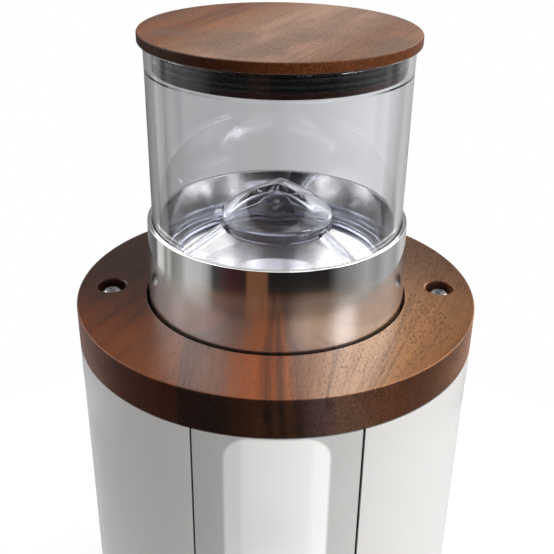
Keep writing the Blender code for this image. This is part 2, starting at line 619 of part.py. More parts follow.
PAD_Z = 112.0
stem_hole = cyl_between("stem_hole_cutter", (0, -110, PAD_Z), (0, -70, PAD_Z), 3.1)
boolean(fork_bracket, stem_hole)
boolean(front_panel, stem_hole)
pad_y = bracket_front - 10.0
paddle_axis = empty("paddle_axis", (0, pad_y, PAD_Z))
switch_paddle = box("switch_paddle", (-8, pad_y - 3.0, PAD_Z - 10), (8, pad_y, PAD_Z + 10), BLACK_PL, bevel=1.2)
boolean(switch_paddle, cyl_between("paddle_stem_cutter", (0, pad_y - 1.0, PAD_Z), (0, -76.0, PAD_Z), 2.5), "UNION")
turns, per = 3.0, 8
coil = [(4.3 * math.cos(2 * math.pi * i / per), pad_y + 0.9 + (bracket_front - pad_y - 1.8) * i / (turns * per),
         PAD_Z + 4.3 * math.sin(2 * math.pi * i / per)) for i in range(int(turns * per) + 1)]
paddle_spring = curve_mesh("paddle_spring", coil, SPRING, bevel=0.45)
micro_switch = box("micro_switch", (-10, -71.6, PAD_Z - 5), (10, -60.0, PAD_Z + 5), BLACK_PL, bevel=0.6, segs=1)

# --------------------------------------------------- switch and mains inlet
power_switch_frame = box("power_switch_frame", (RK[0] - 8.0, RK[1] - 9.2, RK[2] - 6.2),
                         (RK[0] + GAP, RK[1] + 9.2, RK[2] + 6.2), BLACK_PL)
boolean(power_switch_frame, box("frame_flange_cutter", (RK[0] + GAP - 0.1, RK[1] - 11.0, RK[2] - 8.0),
                                (RK[0] + 1.8, RK[1] + 11.0, RK[2] + 8.0), cutter=True), "UNION")
boolean(power_switch_frame, box("frame_pocket_cutter", (RK[0] - 6.4, RK[1] - 7.6, RK[2] - 4.7),
                                (RK[0] + 6.0, RK[1] + 7.6, RK[2] + 4.7), cutter=True))
rocker_side = [(-6.6, 1.5), (-6.6, 5.0), (0.0, 3.4), (6.6, 5.0), (6.6, 1.5), (3.2, -1.6), (-3.2, -1.6)]
power_rocker = curve_mesh("power_rocker", [(y, x, 0) for y, x in rocker_side], BLACK_PL, closed=True, flat=4.3)
power_rocker.rotation_euler = (0, 0, math.radians(-90 - ROCKER_TILT))
power_rocker.location = mm(RK[0] - 1.0, RK[1], RK[2])

INLET_Z = 62.0
iec_inlet = box("iec_inlet", (-14.0, 62.0, INLET_Z - 11.0), (14.0, 84.0, INLET_Z + 11.0), BLACK_PL)
boolean(iec_inlet, box("inlet_flange_cutter", (-24.5, 85.4, INLET_Z - 14), (24.5, INLET_FACE, INLET_Z + 14), cutter=True,
                       bevel=2.0), "UNION")
boolean(iec_inlet, box("inlet_neck_cutter", (-14.0, 80.0, INLET_Z - 11.0), (14.0, 86.0, INLET_Z + 11.0), cutter=True), "UNION")
boolean(iec_inlet, box("inlet_cavity_cutter", (-12.2, 68.0, INLET_Z - 8.4), (12.2, 92.0, INLET_Z + 8.4), cutter=True))
pins = boxes("inlet_pins_cutter", [((2.0, 18.0, 4.0), Matrix.Translation((x, 76.0, INLET_Z + z)))
                                   for x, z in ((-7.0, -2.0), (7.0, -2.0), (0.0, 2.0))])
boolean(iec_inlet, pins, "UNION")
boolean(rear_panel, box("inlet_opening_cutter", (-14.4, 70.0, INLET_Z - 11.4), (14.4, 95.0, INLET_Z + 11.4), cutter=True))
slots = boxes("vent_slots_cutter", [((46.0, 30.0, 3.2), Matrix.Translation((0, 84.0, 130.0 + 9.0 * k))) for k in range(6)])
boolean(rear_panel, slots)

# ----------------------------------------------------------------- the motor
motor_top_cap = turned("motor_top_cap", [
    (46.0, 213.7), (46.0, 200.3), (8.2, 200.3), (8.2, 202.5), (17.8, 202.5), (17.8, 213.7)], PLATE_AL, steps=SEG_M)
motor_housing = turned("motor_housing", tube(46.0, 43.6, 80.3, 200.0), MOTOR_PAINT, steps=SEG_M)
stator = turned("stator", tube(43.2, 26.0, 95.0, 182.0), LAMINATION, steps=SEG_M)
motor_bottom_cap = turned("motor_bottom_cap", [
    (46.0, 80.0), (46.0, 66.0), (8.2, 66.0), (8.2, 68.0), (17.8, 68.0), (17.8, 80.0)], PLATE_AL, steps=SEG_M)
upper_bearing = turned("upper_bearing", tube(17.4, 7.4, 202.8, 213.6), BURR_STEEL, steps=SEG_M)
lower_bearing = turned("lower_bearing", tube(17.4, 7.4, 68.3, 79.3), BURR_STEEL, steps=SEG_M)
drive_shaft = turned("drive_shaft", [
    (0, 249.0), (4.4, 249.0), (5.0, 248.4), (5.0, 236.6), (7.0, 236.6), (7.0, 46.6), (6.4, 46.0), (0, 46.0)],
    SCREW_STEEL, steps=SEG_S, parent=drive_axis)
rotor = turned("rotor", [
    (25.4, 178.0), (25.4, 100.0), (20.0, 100.0), (20.0, 92.0), (7.3, 92.0), (7.3, 186.0), (20.0, 186.0),
    (20.0, 178.0)], COPPERISH, steps=SEG_M, parent=drive_axis)
cooling_fan = turned("cooling_fan", tube(13.0, 7.3, 50.0, 62.0), BLACK_PL, steps=SEG_S, parent=drive_axis)
blades = []
for k in range(7):
    yaw = Matrix.Rotation(math.radians(360.0 * k / 7), 4, "Z")
    blades.append(((28.5, 1.6, 11.0), yaw @ Matrix.Translation((26.2, 0, 56.0)) @ Matrix.Rotation(math.radians(28), 4, "X")))
boolean(cooling_fan, boxes("fan_blades_cutter", blades), "UNION")

# -------------------------------------------------------------- electronics
ca = math.radians(55.0)
capacitor = turned("capacitor", [
    (0, 178.0), (14.0, 178.0), (15.0, 177.0), (15.0, 121.0), (14.0, 120.0), (0, 120.0)], CAP_WHITE, steps=SEG_S,
    at=(64.0 * math.cos(math.radians(12)), 64.0 * math.sin(math.radians(12)), 0))
control_board = box("control_board", (-30, 55.0, 92.0), (30, 56.6, 150.0), PCB)
comps = boxes("board_parts_cutter", [((18, 12, 16), Matrix.Translation((-14, 62.0, 134))),
                                     ((14, 9, 20), Matrix.Translation((14, 60.5, 130))),
                                     ((40, 7, 9), Matrix.Translation((0, 59.5, 101)))])
boolean(control_board, comps, "UNION")

for ob in parts.objects:
    if ob.type == "MESH":
        smooth(ob)
for group in (parts, cuts):
    for ob in group.objects:
        if ob.parent is None:
            ob.location.y += mm(AXIS_Y)
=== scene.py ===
"""Looks of the burr coffee grinder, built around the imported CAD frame."""

import bpy
import bmesh
import math
from mathutils import Matrix, Vector


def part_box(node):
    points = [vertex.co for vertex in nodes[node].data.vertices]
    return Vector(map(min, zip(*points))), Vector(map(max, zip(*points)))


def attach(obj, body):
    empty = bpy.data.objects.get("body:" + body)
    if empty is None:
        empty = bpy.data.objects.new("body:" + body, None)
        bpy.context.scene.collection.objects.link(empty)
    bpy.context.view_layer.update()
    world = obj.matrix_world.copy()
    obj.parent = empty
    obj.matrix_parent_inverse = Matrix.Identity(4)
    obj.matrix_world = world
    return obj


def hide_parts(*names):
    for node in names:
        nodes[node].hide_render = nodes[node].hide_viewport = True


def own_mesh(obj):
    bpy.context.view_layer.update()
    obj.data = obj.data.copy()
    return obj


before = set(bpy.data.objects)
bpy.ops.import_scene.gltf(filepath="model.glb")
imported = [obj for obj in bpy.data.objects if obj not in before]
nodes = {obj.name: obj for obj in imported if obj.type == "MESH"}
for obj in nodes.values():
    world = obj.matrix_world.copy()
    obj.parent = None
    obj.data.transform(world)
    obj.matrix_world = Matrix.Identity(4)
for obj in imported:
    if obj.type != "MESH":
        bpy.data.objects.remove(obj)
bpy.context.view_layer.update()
scene = bpy.context.scene

MM = 0.001
_lo, _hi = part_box("wood_ring")
AY = (_lo.y + _hi.y) * 0.5            # body axis, metres
RING_TOP = _hi.z / MM                 # 300.0
R = (_hi.x - _lo.x) * 0.5 / MM        # 85.0
LID_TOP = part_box("lid")[1].z / MM     # 410.6
AXIS = Vector((0.0, AY, 0.0))


# =================================================================== helpers
def rounded(pts, seg=4, closed=True):
    """Profile of (u, v) or (u, v, fillet radius) points with its corners rounded."""
    out, n = [], len(pts)
    for i, pt in enumerate(pts):
        rad = pt[2] if len(pt) > 2 else 0.0
        p = Vector(pt[:2])
        if rad <= 0 or (not closed and i in (0, n - 1)):
            out.append((p.x, p.y))
            continue
        a, b = Vector(pts[i - 1][:2]) - p, Vector(pts[(i + 1) % n][:2]) - p
        la, lb = a.length, b.length
        a.normalize()
        b.normalize()
        half = a.angle(b) * 0.5
        if abs(half - math.pi / 2) < 0.02:
            out.append((p.x, p.y))
            continue
        t = min(rad / math.tan(half), 0.48 * la, 0.48 * lb)
        r = t * math.tan(half)
        c = p + (a + b).normalized() * (r / math.sin(half))
        p0, p1 = p + a * t - c, p + b * t - c
        a0, a1 = math.atan2(p0.y, p0.x), math.atan2(p1.y, p1.x)
        d = (a1 - a0 + math.pi) % (2 * math.pi) - math.pi
        for k in range(seg + 1):
            w = a0 + d * k / seg
            out.append((c.x + r * math.cos(w), c.y + r * math.sin(w)))
    return out


def make(name, bm, mat=None, loc=AXIS, recalc=True):
    """Mesh object from a bmesh in mm about 'loc'."""
    if recalc:
        bmesh.ops.recalc_face_normals(bm, faces=bm.faces)
    bmesh.ops.scale(bm, vec=Vector((MM, MM, MM)), verts=bm.verts)
    me = bpy.data.meshes.new(name)
    bm.to_mesh(me)
    bm.free()
    ob = bpy.data.objects.new(name, me)
    scene.collection.objects.link(ob)
    ob.location = loc
    if mat is not None:
        me.materials.append(mat)
    return ob


def smooth(ob, angle=32.0, weighted=True):
    ob.data.shade_smooth()
    ob.data.set_sharp_from_angle(angle=math.radians(angle))
    if weighted:
        wn = ob.modifiers.new("normals", "WEIGHTED_NORMAL")
        wn.keep_sharp = True
        wn.weight = 60
    return ob


def lathe_bm(pts, steps=144, at=(0.0, 0.0), start=0.0):
    """Closed profile, or one open on the axis, turned about a vertical line."""
    bm = bmesh.new()
    rings = []
    for r, z in pts:
        if r < 1e-6:
            rings.append([bm.verts.new((at[0], at[1], z))])
        else:
            rings.append([bm.verts.new((at[0] + r * math.cos(2 * math.pi * k / steps + start),
                                        at[1] + r * math.sin(2 * math.pi * k / steps + start), z))
                          for k in range(steps)])
    pairs = list(zip(rings, rings[1:]))
    if len(rings[0]) > 1 or len(rings[-1]) > 1:
        pairs.append((rings[-1], rings[0]))
    for a, b in pairs:
        for k in range(steps):
            j = (k + 1) % steps
            if len(a) == 1 and len(b) == 1:
                break
            if len(a) == 1:
                bm.faces.new((a[0], b[k], b[j]))
            elif len(b) == 1:
                bm.faces.new((a[k], a[j], b[0]))
            else:
                bm.faces.new((a[k], a[j], b[j], b[k]))
    return bm


def lathe(name, pts, mat, steps=144, at=(0.0, 0.0), seg=4):
    closed = not (pts[0][0] == 0 and pts[-1][0] == 0)
    return make(name, lathe_bm(rounded(pts, seg, closed), steps, at), mat)


def sector(name, pts, mat, a0, a1, steps, warp=None, seg=4, angles=None):
    """Closed profile swept from angle a0 to a1 (degrees) with flat ends; warp may
    change the radius of a point from its angle and height."""
    prof = rounded(pts, seg)
    if angles is None:
        angles = [a0 + (a1 - a0) * k / steps for k in range(steps + 1)]
    bm = bmesh.new()
    cols = []
    for a in angles:
        c, s = math.cos(math.radians(a)), math.sin(math.radians(a))
        col = []
        for r, z in prof:
            rr = warp(a, r, z) if warp else r
            col.append(bm.verts.new((rr * c, rr * s, z)))
        cols.append(col)
    n = len(prof)
    for p, q in zip(cols, cols[1:]):
        for i in range(n):
            j = (i + 1) % n
            bm.faces.new((p[i], p[j], q[j], q[i]))
    bm.faces.new(cols[0])
    bm.faces.new(list(reversed(cols[-1])))
    return make(name, bm, mat)


def outline_prism(name, outline, z0, z1, mat, loc=AXIS, rot=None):
    """Flat outline (u, v) extruded from z0 to z1; rot places it."""
    bm = bmesh.new()
    low = [bm.verts.new((x, y, z0)) for x, y in outline]
    high = [bm.verts.new((x, y, z1)) for x, y in outline]
    bm.faces.new(list(reversed(low)))
    bm.faces.new(high)
    n = len(outline)
    for i in range(n):
        j = (i + 1) % n
        bm.faces.new((low[i], low[j], high[j], high[i]))
    if rot is not None:
        bmesh.ops.transform(bm, matrix=rot, verts=bm.verts)
    return make(name, bm, mat, loc)


def round_rect(w, h, r, seg=6, cx=0.0, cy=0.0):
    return [(x + cx, y + cy) for x, y in rounded(
        [(w / 2, h / 2, r), (-w / 2, h / 2, r), (-w / 2, -h / 2, r), (w / 2, -h / 2, r)], seg)]


def bevel(ob, width, segs=3, angle=40.0):
    bv = ob.modifiers.new("edges", "BEVEL")
    bv.width = width * MM
    bv.segments = segs
    bv.limit_method = "ANGLE"
    bv.angle_limit = math.radians(angle)
    bv.use_clamp_overlap = True
    return ob


def cut(ob, cutter, op="DIFFERENCE"):
    b = ob.modifiers.new("cut", "BOOLEAN")
    b.operation = op
    b.solver = "EXACT"
    b.object = cutter
    return cutter


def bake_mods(ob, *cutters):
    """Turns the modifiers so far into mesh and removes the cutters."""
    dg = bpy.context.evaluated_depsgraph_get()
    dg.update()
    me = bpy.data.meshes.new_from_object(ob.evaluated_get(dg))
    ob.modifiers.clear()
    ob.data = me
    for c in cutters:
        bpy.data.objects.remove(c, do_unlink=True)
    return ob


def clean(ob, dist=0.004):
    bm = bmesh.new()
    bm.from_mesh(ob.data)
    bmesh.ops.remove_doubles(bm, verts=bm.verts, dist=dist * MM)
    bmesh.ops.dissolve_degenerate(bm, edges=bm.edges, dist=dist * MM)
    bm.to_mesh(ob.data)
    bm.free()
    return ob


def rod_between(name, a, b, r, mat=None, steps=32, loc=AXIS):
    a, b = Vector(a), Vector(b)
    d = b - a
    bm = bmesh.new()
    bmesh.ops.create_cone(bm, cap_ends=True, segments=steps, radius1=r, radius2=r, depth=d.length)
    m = Matrix.Translation((a + b) * 0.5) @ d.to_track_quat("Z", "Y").to_matrix().to_4x4()
    bmesh.ops.transform(bm, matrix=m, verts=bm.verts)
    return make(name, bm, mat, loc)


def smooth_line(points, per=6):
    pts = [Vector(p) for p in points]
    out = []
    for i in range(len(pts) - 1):
        p0, p1, p2 = pts[max(i - 1, 0)], pts[i], pts[i + 1]
        p3 = pts[min(i + 2, len(pts) - 1)]
        for k in range(per):
            t = k / per
            out.append(0.5 * ((2 * p1) + (p2 - p0) * t + (2 * p0 - 5 * p1 + 4 * p2 - p3) * t * t
                              + (3 * p1 - p0 - 3 * p2 + p3) * t ** 3))
    out.append(pts[-1])
    return out


def tube_along(name, path, r, mat, sides=20, round_ends=True, loc=AXIS):
    """Round bar along a path, by parallel transport, with domed ends."""
    path = [Vector(p) for p in path]
    tangents = [(path[min(i + 1, len(path) - 1)] - path[max(i - 1, 0)]).normalized() for i in range(len(path))]
    side = tangents[0].orthogonal().normalized()
    stations = []
    if round_ends:
        for k in range(1, 5):
            w = math.pi / 2 * k / 5
            stations.append((path[0] - tangents[0] * r * math.cos(w), tangents[0], r * math.sin(w)))
    for p, t in zip(path, tangents):
        stations.append((p, t, r))
    if round_ends:
        for k in range(4, 0, -1):
            w = math.pi / 2 * k / 5
            stations.append((path[-1] + tangents[-1] * r * math.cos(w), tangents[-1], r * math.sin(w)))
    bm = bmesh.new()
    rings = []
    for p, t, rr in stations:
        side = (side - t * side.dot(t)).normalized()
        up = t.cross(side)
        rings.append([bm.verts.new(p + (side * math.cos(2 * math.pi * k / sides) + up * math.sin(2 * math.pi * k / sides)) * rr)
                      for k in range(sides)])
    for a, b in zip(rings, rings[1:]):
        for k in range(sides):
            j = (k + 1) % sides
            bm.faces.new((a[k], a[j], b[j], b[k]))
    bm.faces.new(list(reversed(rings[0])))
    bm.faces.new(rings[-1])
    return make(name, bm, mat, loc)


def piece(ob, body, *stands_for, slot=None):
    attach(ob, body)
    if stands_for:
        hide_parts(*stands_for)
    return ob


# ================================================================= materials
def srgb(r, g, b):
    def f(c):
        c /= 255.0
        return c / 12.92 if c <= 0.04045 else ((c + 0.055) / 1.055) ** 2.4
    return (f(r), f(g), f(b), 1.0)


class Mat:
    """Small wrapper that keeps node set-up short."""

    def __init__(self, name, **shader):
        self.m = bpy.data.materials.new(name)
        self.m.use_nodes = True
        self.t = self.m.node_tree
        self.t.nodes.clear()
        out = self.t.nodes.new("ShaderNodeOutputMaterial")
        self.b = self.t.nodes.new("ShaderNodeBsdfPrincipled")
        self.t.links.new(self.b.outputs[0], out.inputs[0])
        self.set(**shader)
        self._co = None

    def put(self, sock, val):
        if isinstance(val, bpy.types.NodeSocket):
            self.t.links.new(val, sock)
        elif isinstance(val, (tuple, list)) and len(val) == 3 and sock.type == "RGBA":
            sock.default_value = (*val, 1.0)
        else:
            sock.default_value = val

    def set(self, **shader):
        for k, v in shader.items():
            self.put(self.b.inputs[k.replace("_", " ")], v)

    def node(self, kind, ins=None, **props):
        n = self.t.nodes.new(kind)
        for k, v in props.items():
            setattr(n, k, v)
        for k, v in (ins or {}).items():
            self.put(n.inputs[k], v)
        return n

    @property
    def co(self):
        """Object coordinates in millimetres."""
        if self._co is None:
            tc = self.node("ShaderNodeTexCoord")
            self.tc = tc
            self._co = self.node("ShaderNodeVectorMath", {0: tc.outputs["Object"], 1: (1000.0, 1000.0, 1000.0)},
                                 operation="MULTIPLY").outputs[0]
        return self._co

    def scaled(self, x, y, z, rot=0.0, src=None, off=(0, 0, 0)):
        v = src or self.co
        if rot:
            v = self.node("ShaderNodeVectorRotate", {"Vector": v, "Angle": math.radians(rot)},
                          rotation_type="Z_AXIS").outputs[0]
        n = self.node("ShaderNodeMapping", {"Vector": v, "Scale": (x, y, z), "Location": off})
        return n.outputs[0]

    def noise(self, vec, scale=1.0, detail=3.0, rough=0.5, dist=0.0):
        n = self.node("ShaderNodeTexNoise", {"Vector": vec, "Scale": scale, "Detail": detail,
                                            "Roughness": rough, "Distortion": dist})
        return n.outputs[0]

    def math(self, op, a, b=0.0, c=None, clamp=False):
        ins = {0: a, 1: b}
        if c is not None:
            ins[2] = c
        n = self.node("ShaderNodeMath", ins, operation=op)
        n.use_clamp = clamp
        return n.outputs[0]

    def remap(self, v, a, b, c=0.0, d=1.0, kind="SMOOTHSTEP"):
        n = self.node("ShaderNodeMapRange", {"Value": v, "From Min": a, "From Max": b, "To Min": c, "To Max": d},
                      interpolation_type=kind)
        n.clamp = True
        return n.outputs[0]

    def ramp(self, fac, stops, interp="LINEAR"):
        n = self.node("ShaderNodeValToRGB", {0: fac})
        cr = n.color_ramp
        cr.interpolation = interp
        while len(cr.elements) > 1:
            cr.elements.remove(cr.elements[-1])
        for i, (p, col) in enumerate(stops):
            e = cr.elements[0] if i == 0 else cr.elements.new(p)
            e.position = p
            e.color = col if len(col) == 4 else (*col, 1.0)
        return n.outputs[0]

    def mix(self, fac, a, b, blend="MIX"):
        n = self.node("ShaderNodeMix", data_type="RGBA", blend_type=blend)
        self.put(n.inputs[0], fac)
        self.put(n.inputs[6], a)
        self.put(n.inputs[7], b)
        return n.outputs[2]

    def xyz(self, src=None):
        return self.node("ShaderNodeSeparateXYZ", {0: src or self.co}).outputs

    def vec(self, x, y, z):
        return self.node("ShaderNodeCombineXYZ", {0: x, 1: y, 2: z}).outputs[0]

    def bump(self, height, strength=0.2, dist=0.0002, normal=None):
        ins = {"Height": height, "Strength": strength, "Distance": dist}
        if normal is not None:
            ins["Normal"] = normal
        self.b.inputs["Normal"]
        n = self.node("ShaderNodeBump", ins)
        self.t.links.new(n.outputs[0], self.b.inputs["Normal"])
        return n.outputs[0]


def coated(name, col, rough=0.2, var=0.04, grain=0.35, bump=0.06, dist=0.00004, patch=0.02, **sh):
    """Paint or moulded plastic: faint patches of tone, fine orange peel or texture."""
    m = Mat(name, **sh)
    big = m.noise(m.scaled(patch, patch, patch), 1.0, 2.0)
    dark = tuple(c * (1 - var) for c in col[:3])
    light = tuple(min(c * (1 + var), 1.0) for c in col[:3])
    m.set(Base_Color=m.ramp(big, [(0.3, dark), (0.7, light)]))
    fine = m.noise(m.scaled(grain, grain, grain), 1.0, 3.0, 0.55)
    m.set(Roughness=m.remap(fine, 0.25, 0.75, rough * 0.85, rough * 1.15, "LINEAR"))
    m.bump(fine, bump, dist)
    return m.m


def metal(name, col, rough=0.25, streak=(0.05, 0.05, 2.0), var=0.06, bump=0.08, dist=0.00003, **sh):
    """Bare metal with machining marks that run across the large streak factor."""
    m = Mat(name, Metallic=1.0, **sh)
    lines = m.noise(m.scaled(*streak), 1.0, 4.0, 0.6)
    patch = m.noise(m.scaled(0.06, 0.06, 0.06), 1.0, 2.0)
    mix = m.math("ADD", m.math("MULTIPLY", lines, 0.6), m.math("MULTIPLY", patch, 0.4))
    dark = tuple(c * (1 - var) for c in col[:3])
    light = tuple(min(c * (1 + var), 1.0) for c in col[:3])
    m.set(Base_Color=m.ramp(mix, [(0.3, dark), (0.7, light)]))
    m.set(Roughness=m.remap(mix, 0.3, 0.7, rough * 0.75, rough * 1.25, "LINEAR"))
    m.bump(lines, bump, dist)
    return m.m


def walnut(name, turn, ramp_u, z0, lean=0.0, joint=None, left=None, end_dark=0.45, pore=1.0, grey=None, seed=0.0,
           span=(-90.0, 90.0), fibre=1.0, tone=(1.0, 1.0, 1.0), spec=0.22, coat=0.12, rim=None, streak=0.0):
    """Oiled walnut as a solid texture; grain runs along Y turned by 'turn' degrees.

    ramp_u colours run across the grain from span[0] to span[1] mm; joint is the
    place of a glued joint across the grain, with its own colours on the left.
    """
    m = Mat(name, Specular_IOR_Level=spec, Coat_Weight=coat, Coat_Roughness=0.22)
    ramp_u = [(p, tuple(c * t for c, t in zip(col, tone))) for p, col in ramp_u]
    left = [(p, tuple(c * t for c, t in zip(col, tone))) for p, col in left or []]
    v = m.co
    if turn:
        v = m.node("ShaderNodeVectorRotate", {"Vector": v, "Angle": math.radians(turn)},
                   rotation_type="Z_AXIS").outputs[0]
    x, y, z = m.xyz(v)
    # slow waver of the grain, and a lean of the stripes on one side of the board
    waver = m.noise(m.vec(m.math("MULTIPLY", x, 0.02), m.math("MULTIPLY", y, 0.012), m.math("ADD", m.math("MULTIPLY", z, 0.02), seed)), 1.0, 2.0)
    u = m.math("ADD", x, m.math("MULTIPLY", m.math("SUBTRACT", waver, 0.5), 5.0))
    if lean:
        over = m.math("MAXIMUM", m.math("SUBTRACT", u, 6.0), 0.0)
        fan = m.math("ADD", m.math("MULTIPLY", m.math("ADD", y, 62.0), lean), 1.0)
        u = m.math("ADD", m.math("MINIMUM", u, 6.0), m.math("DIVIDE", over, fan))
    u = m.math("ADD", u, m.math("MULTIPLY", m.math("SUBTRACT", z, z0), 0.10))
    uy = m.vec(u, y, z)
    # colour bands across the grain
    pos = m.remap(u, span[0], span[1], 0.0, 1.0, "LINEAR")
    base = m.ramp(pos, ramp_u)
    bands = m.noise(m.scaled(0.26, 0.006, 0.10, src=uy, off=(seed, 0, 0)), 1.0, 4.0, 0.62)
    base = m.mix(m.remap(bands, 0.50, 0.72, 0.0, 0.62), base, m.mix(1.0, base, (0.36, 0.30, 0.28), "MULTIPLY"))
    base = m.mix(m.remap(bands, 0.46, 0.28, 0.0, 0.30), base, m.mix(1.0, base, (1.45, 1.42, 1.38), "MULTIPLY"))
    if joint is not None:
        vl = m.node("ShaderNodeVectorRotate", {"Vector": v, "Angle": math.radians(24.0)}, rotation_type="Z_AXIS").outputs[0]
        lb = m.noise(m.scaled(0.13, 0.011, 0.08, src=vl, off=(seed + 7.0, 0, 0)), 1.0, 4.0, 0.6)
        lp = m.remap(m.math("ADD", y, m.math("MULTIPLY", m.math("SUBTRACT", lb, 0.5), 60.0)), -70.0, 20.0, 0.0, 1.0, "LINEAR")
        left_base = m.ramp(lp, left)
        left_base = m.mix(m.remap(lb, 0.50, 0.66, 0.0, 0.42), left_base, m.mix(1.0, left_base, (0.45, 0.38, 0.34), "MULTIPLY"))
        left_base = m.mix(m.remap(lb, 0.44, 0.30, 0.0, 0.4), left_base, m.mix(1.0, left_base, (1.4, 1.3, 1.2), "MULTIPLY"))
        on_left = m.remap(x, joint - 0.08, joint + 0.08, 1.0, 0.0, "LINEAR")
        base = m.mix(on_left, base, left_base)
    # the board darkens toward the back, more on the right: partly the wood's own colour, partly painted shade where
    # less light and sheen reach
    if lean:
        deep = m.mix(m.remap(x, -40.0, 36.0), (0.62, 0.50, 0.45), (0.25, 0.19, 0.17))
        base = m.mix(m.remap(y, -48.0, 42.0), base, m.mix(1.0, base, deep, "MULTIPLY"))
    # long thin dark growth lines
    gl = m.noise(m.scaled(0.55, 0.008, 0.12, src=uy, off=(seed * 3.0, 4.0, 0)), 1.0, 3.0, 0.6)
    line = m.remap(m.math("ABSOLUTE", m.math("SUBTRACT", gl, 0.5)), 0.0, 0.022, 1.0, 0.0)
    gate = m.remap(m.noise(m.scaled(0.06, 0.02, 0.05, src=v, off=(seed, 9.0, 3.0)), 1.0, 2.0), 0.42, 0.60, 0.0, 0.62)
    base = m.mix(m.math("MULTIPLY", line, gate), base, m.mix(1.0, base, (0.36, 0.28, 0.25), "MULTIPLY"))
    # fibres: fine streaks along the grain
    fib = m.noise(m.scaled(2.6, 0.10, 2.6, src=uy), 1.0, 4.0, 0.65)
    base = m.mix(m.remap(fib, 0.35, 0.70, 0.0, 0.42 * fibre), base, m.mix(1.0, base, (0.60, 0.54, 0.50), "MULTIPLY"))
    # open pores: short dark dashes, dots where the end grain shows
    pv = m.noise(m.scaled(3.0, 0.46, 3.0, src=uy, off=(3.1, 1.7, 9.2)), 1.0, 2.0, 0.5, 0.3)
    dens = m.noise(m.scaled(0.05, 0.02, 0.05, src=v, off=(11.0, 4.0, 0.0)), 1.0, 2.0)
    thr = m.remap(dens, 0.3, 0.7, 0.64, 0.54, "LINEAR")
    hole = m.remap(m.math("SUBTRACT", pv, thr), 0.0, 0.05, 0.0, 1.0)
    deep = m.remap(x, -14.0, 22.0, 0.42 * pore, 0.92 * pore) if lean else m.remap(dens, 0.3, 0.7, 0.5 * pore, 0.9 * pore)
    base = m.mix(m.math("MULTIPLY", hole, deep), base, m.mix(1.0, base, (0.20, 0.15, 0.13), "MULTIPLY"))
    # soft cloudy figure mixed toward grey; on the lid this greying is partly painted sheen
    fig = m.noise(m.scaled(0.045, 0.03, 0.045, src=v, off=(seed, 2.0, 5.0)), 1.0, 3.0, 0.55)
    if grey is not None:
        base = m.mix(m.remap(fig, 0.42, 0.66, 0.0, 0.55), base, grey)
    # end grain drinks more oil and goes darker
    nrm = m.node("ShaderNodeVectorRotate", {"Vector": m.tc.outputs["Normal"], "Angle": math.radians(turn)},
                 rotation_type="Z_AXIS").outputs[0]
    ny = m.math("ABSOLUTE", m.xyz(nrm)[1])
    end = m.remap(ny, 0.28, 0.80, 0.0, 1.0)
    if lean:
        # the left of the ring has drunk its oil and is duller
        dull = m.remap(x, -18.0, 2.0, 0.76, 1.0)
        m.set(Specular_IOR_Level=m.math("MULTIPLY", dull, m.remap(end, 0.0, 1.0, spec, spec * 0.25, "LINEAR")),
              Coat_Weight=m.math("MULTIPLY", dull, m.remap(end, 0.0, 1.0, coat, 0.0, "LINEAR")))
    dotv = m.noise(m.scaled(1.1, 1.1, 1.1, src=v), 1.0, 3.0, 0.7)
    drink = m.ramp(m.remap(x, -90.0, 90.0, 0.0, 1.0, "LINEAR"), [
        (0.0, (0.370, 0.250, 0.220)), (0.28, (0.185, 0.140, 0.135)), (0.36, (0.050, 0.105, 0.300)), (0.42, (0.040, 0.086, 0.230)), (0.50, (0.100, 0.215, 0.600)),
        (0.62, (0.140, 0.110, 0.140)), (0.74, (0.128, 0.080, 0.086)), (1.0, (0.120, 0.090, 0.128))])
    base = m.mix(m.math("MULTIPLY", end, end_dark), base, m.mix(1.0, base, drink, "MULTIPLY"))
    if streak:
        # one dark mineral streak across the board's right front
        sx, sy, _ = m.xyz(m.scaled(1.0, 1.0, 1.0, rot=34.0))
        d1 = m.math("POWER", m.math("DIVIDE", m.math("SUBTRACT", sx, 66.0), 3.6), 2.0)
        d2 = m.math("POWER", m.math("DIVIDE", m.math("ADD", sy, 8.0), 15.0), 2.0)
        blot = m.remap(m.math("ADD", m.math("SQRT", m.math("ADD", d1, d2)), m.math("MULTIPLY", m.math("SUBTRACT", fig, 0.5), 1.6)), 0.25, 1.1, streak, 0.0)
        base = m.mix(blot, base, m.mix(1.0, base, (0.42, 0.50, 0.56), "MULTIPLY"))
    if rim is not None:
        # the turned edge gets its own colour: partly the wood's darker tone, partly painted shade, and darkened further
        # toward the left as painted shade
        nz = m.math("ABSOLUTE", m.xyz(nrm)[2])
        rx, _, rz = m.xyz(m.co)
        rimv = m.noise(m.scaled(1.3, 1.3, 2.2), 1.0, 3.0, 0.7)
        side = m.mix(m.remap(rx, -36.0, 22.0), tuple(c * t for c, t in zip(rim, (0.30, 0.30, 0.38))), rim)
        m.set(Specular_IOR_Level=m.remap(nz, 0.55, 0.92, 0.06, spec, "LINEAR"), Coat_Weight=m.remap(nz, 0.55, 0.92, 0.0, coat, "LINEAR"))
        rim_shaded = m.mix(m.remap(rimv, 0.40, 0.60, 0.0, 0.85), side, m.mix(1.0, side, (0.34, 0.26, 0.24), "MULTIPLY"))
        base = m.mix(m.remap(nz, 0.55, 0.92, 1.0, 0.0), base, rim_shaded)
        # painted shade: the plug below the lid's underside is darkened
        base = m.mix(m.remap(rz, z0 - 4.3, z0 - 4.0, 1.0, 0.0), base, m.mix(1.0, base, (0.27, 0.24, 0.31), "MULTIPLY"))
    base = m.mix(m.math("MULTIPLY", end, m.remap(dotv, 0.48, 0.66, 0.0, 0.6)), base, m.mix(1.0, base, (0.45, 0.40, 0.40), "MULTIPLY"))
    base = m.mix(m.math("MULTIPLY", end, m.remap(dotv, 0.46, 0.32, 0.0, 0.6)), base, m.mix(1.0, base, (1.75, 1.65, 1.6), "MULTIPLY"))
    if lean:
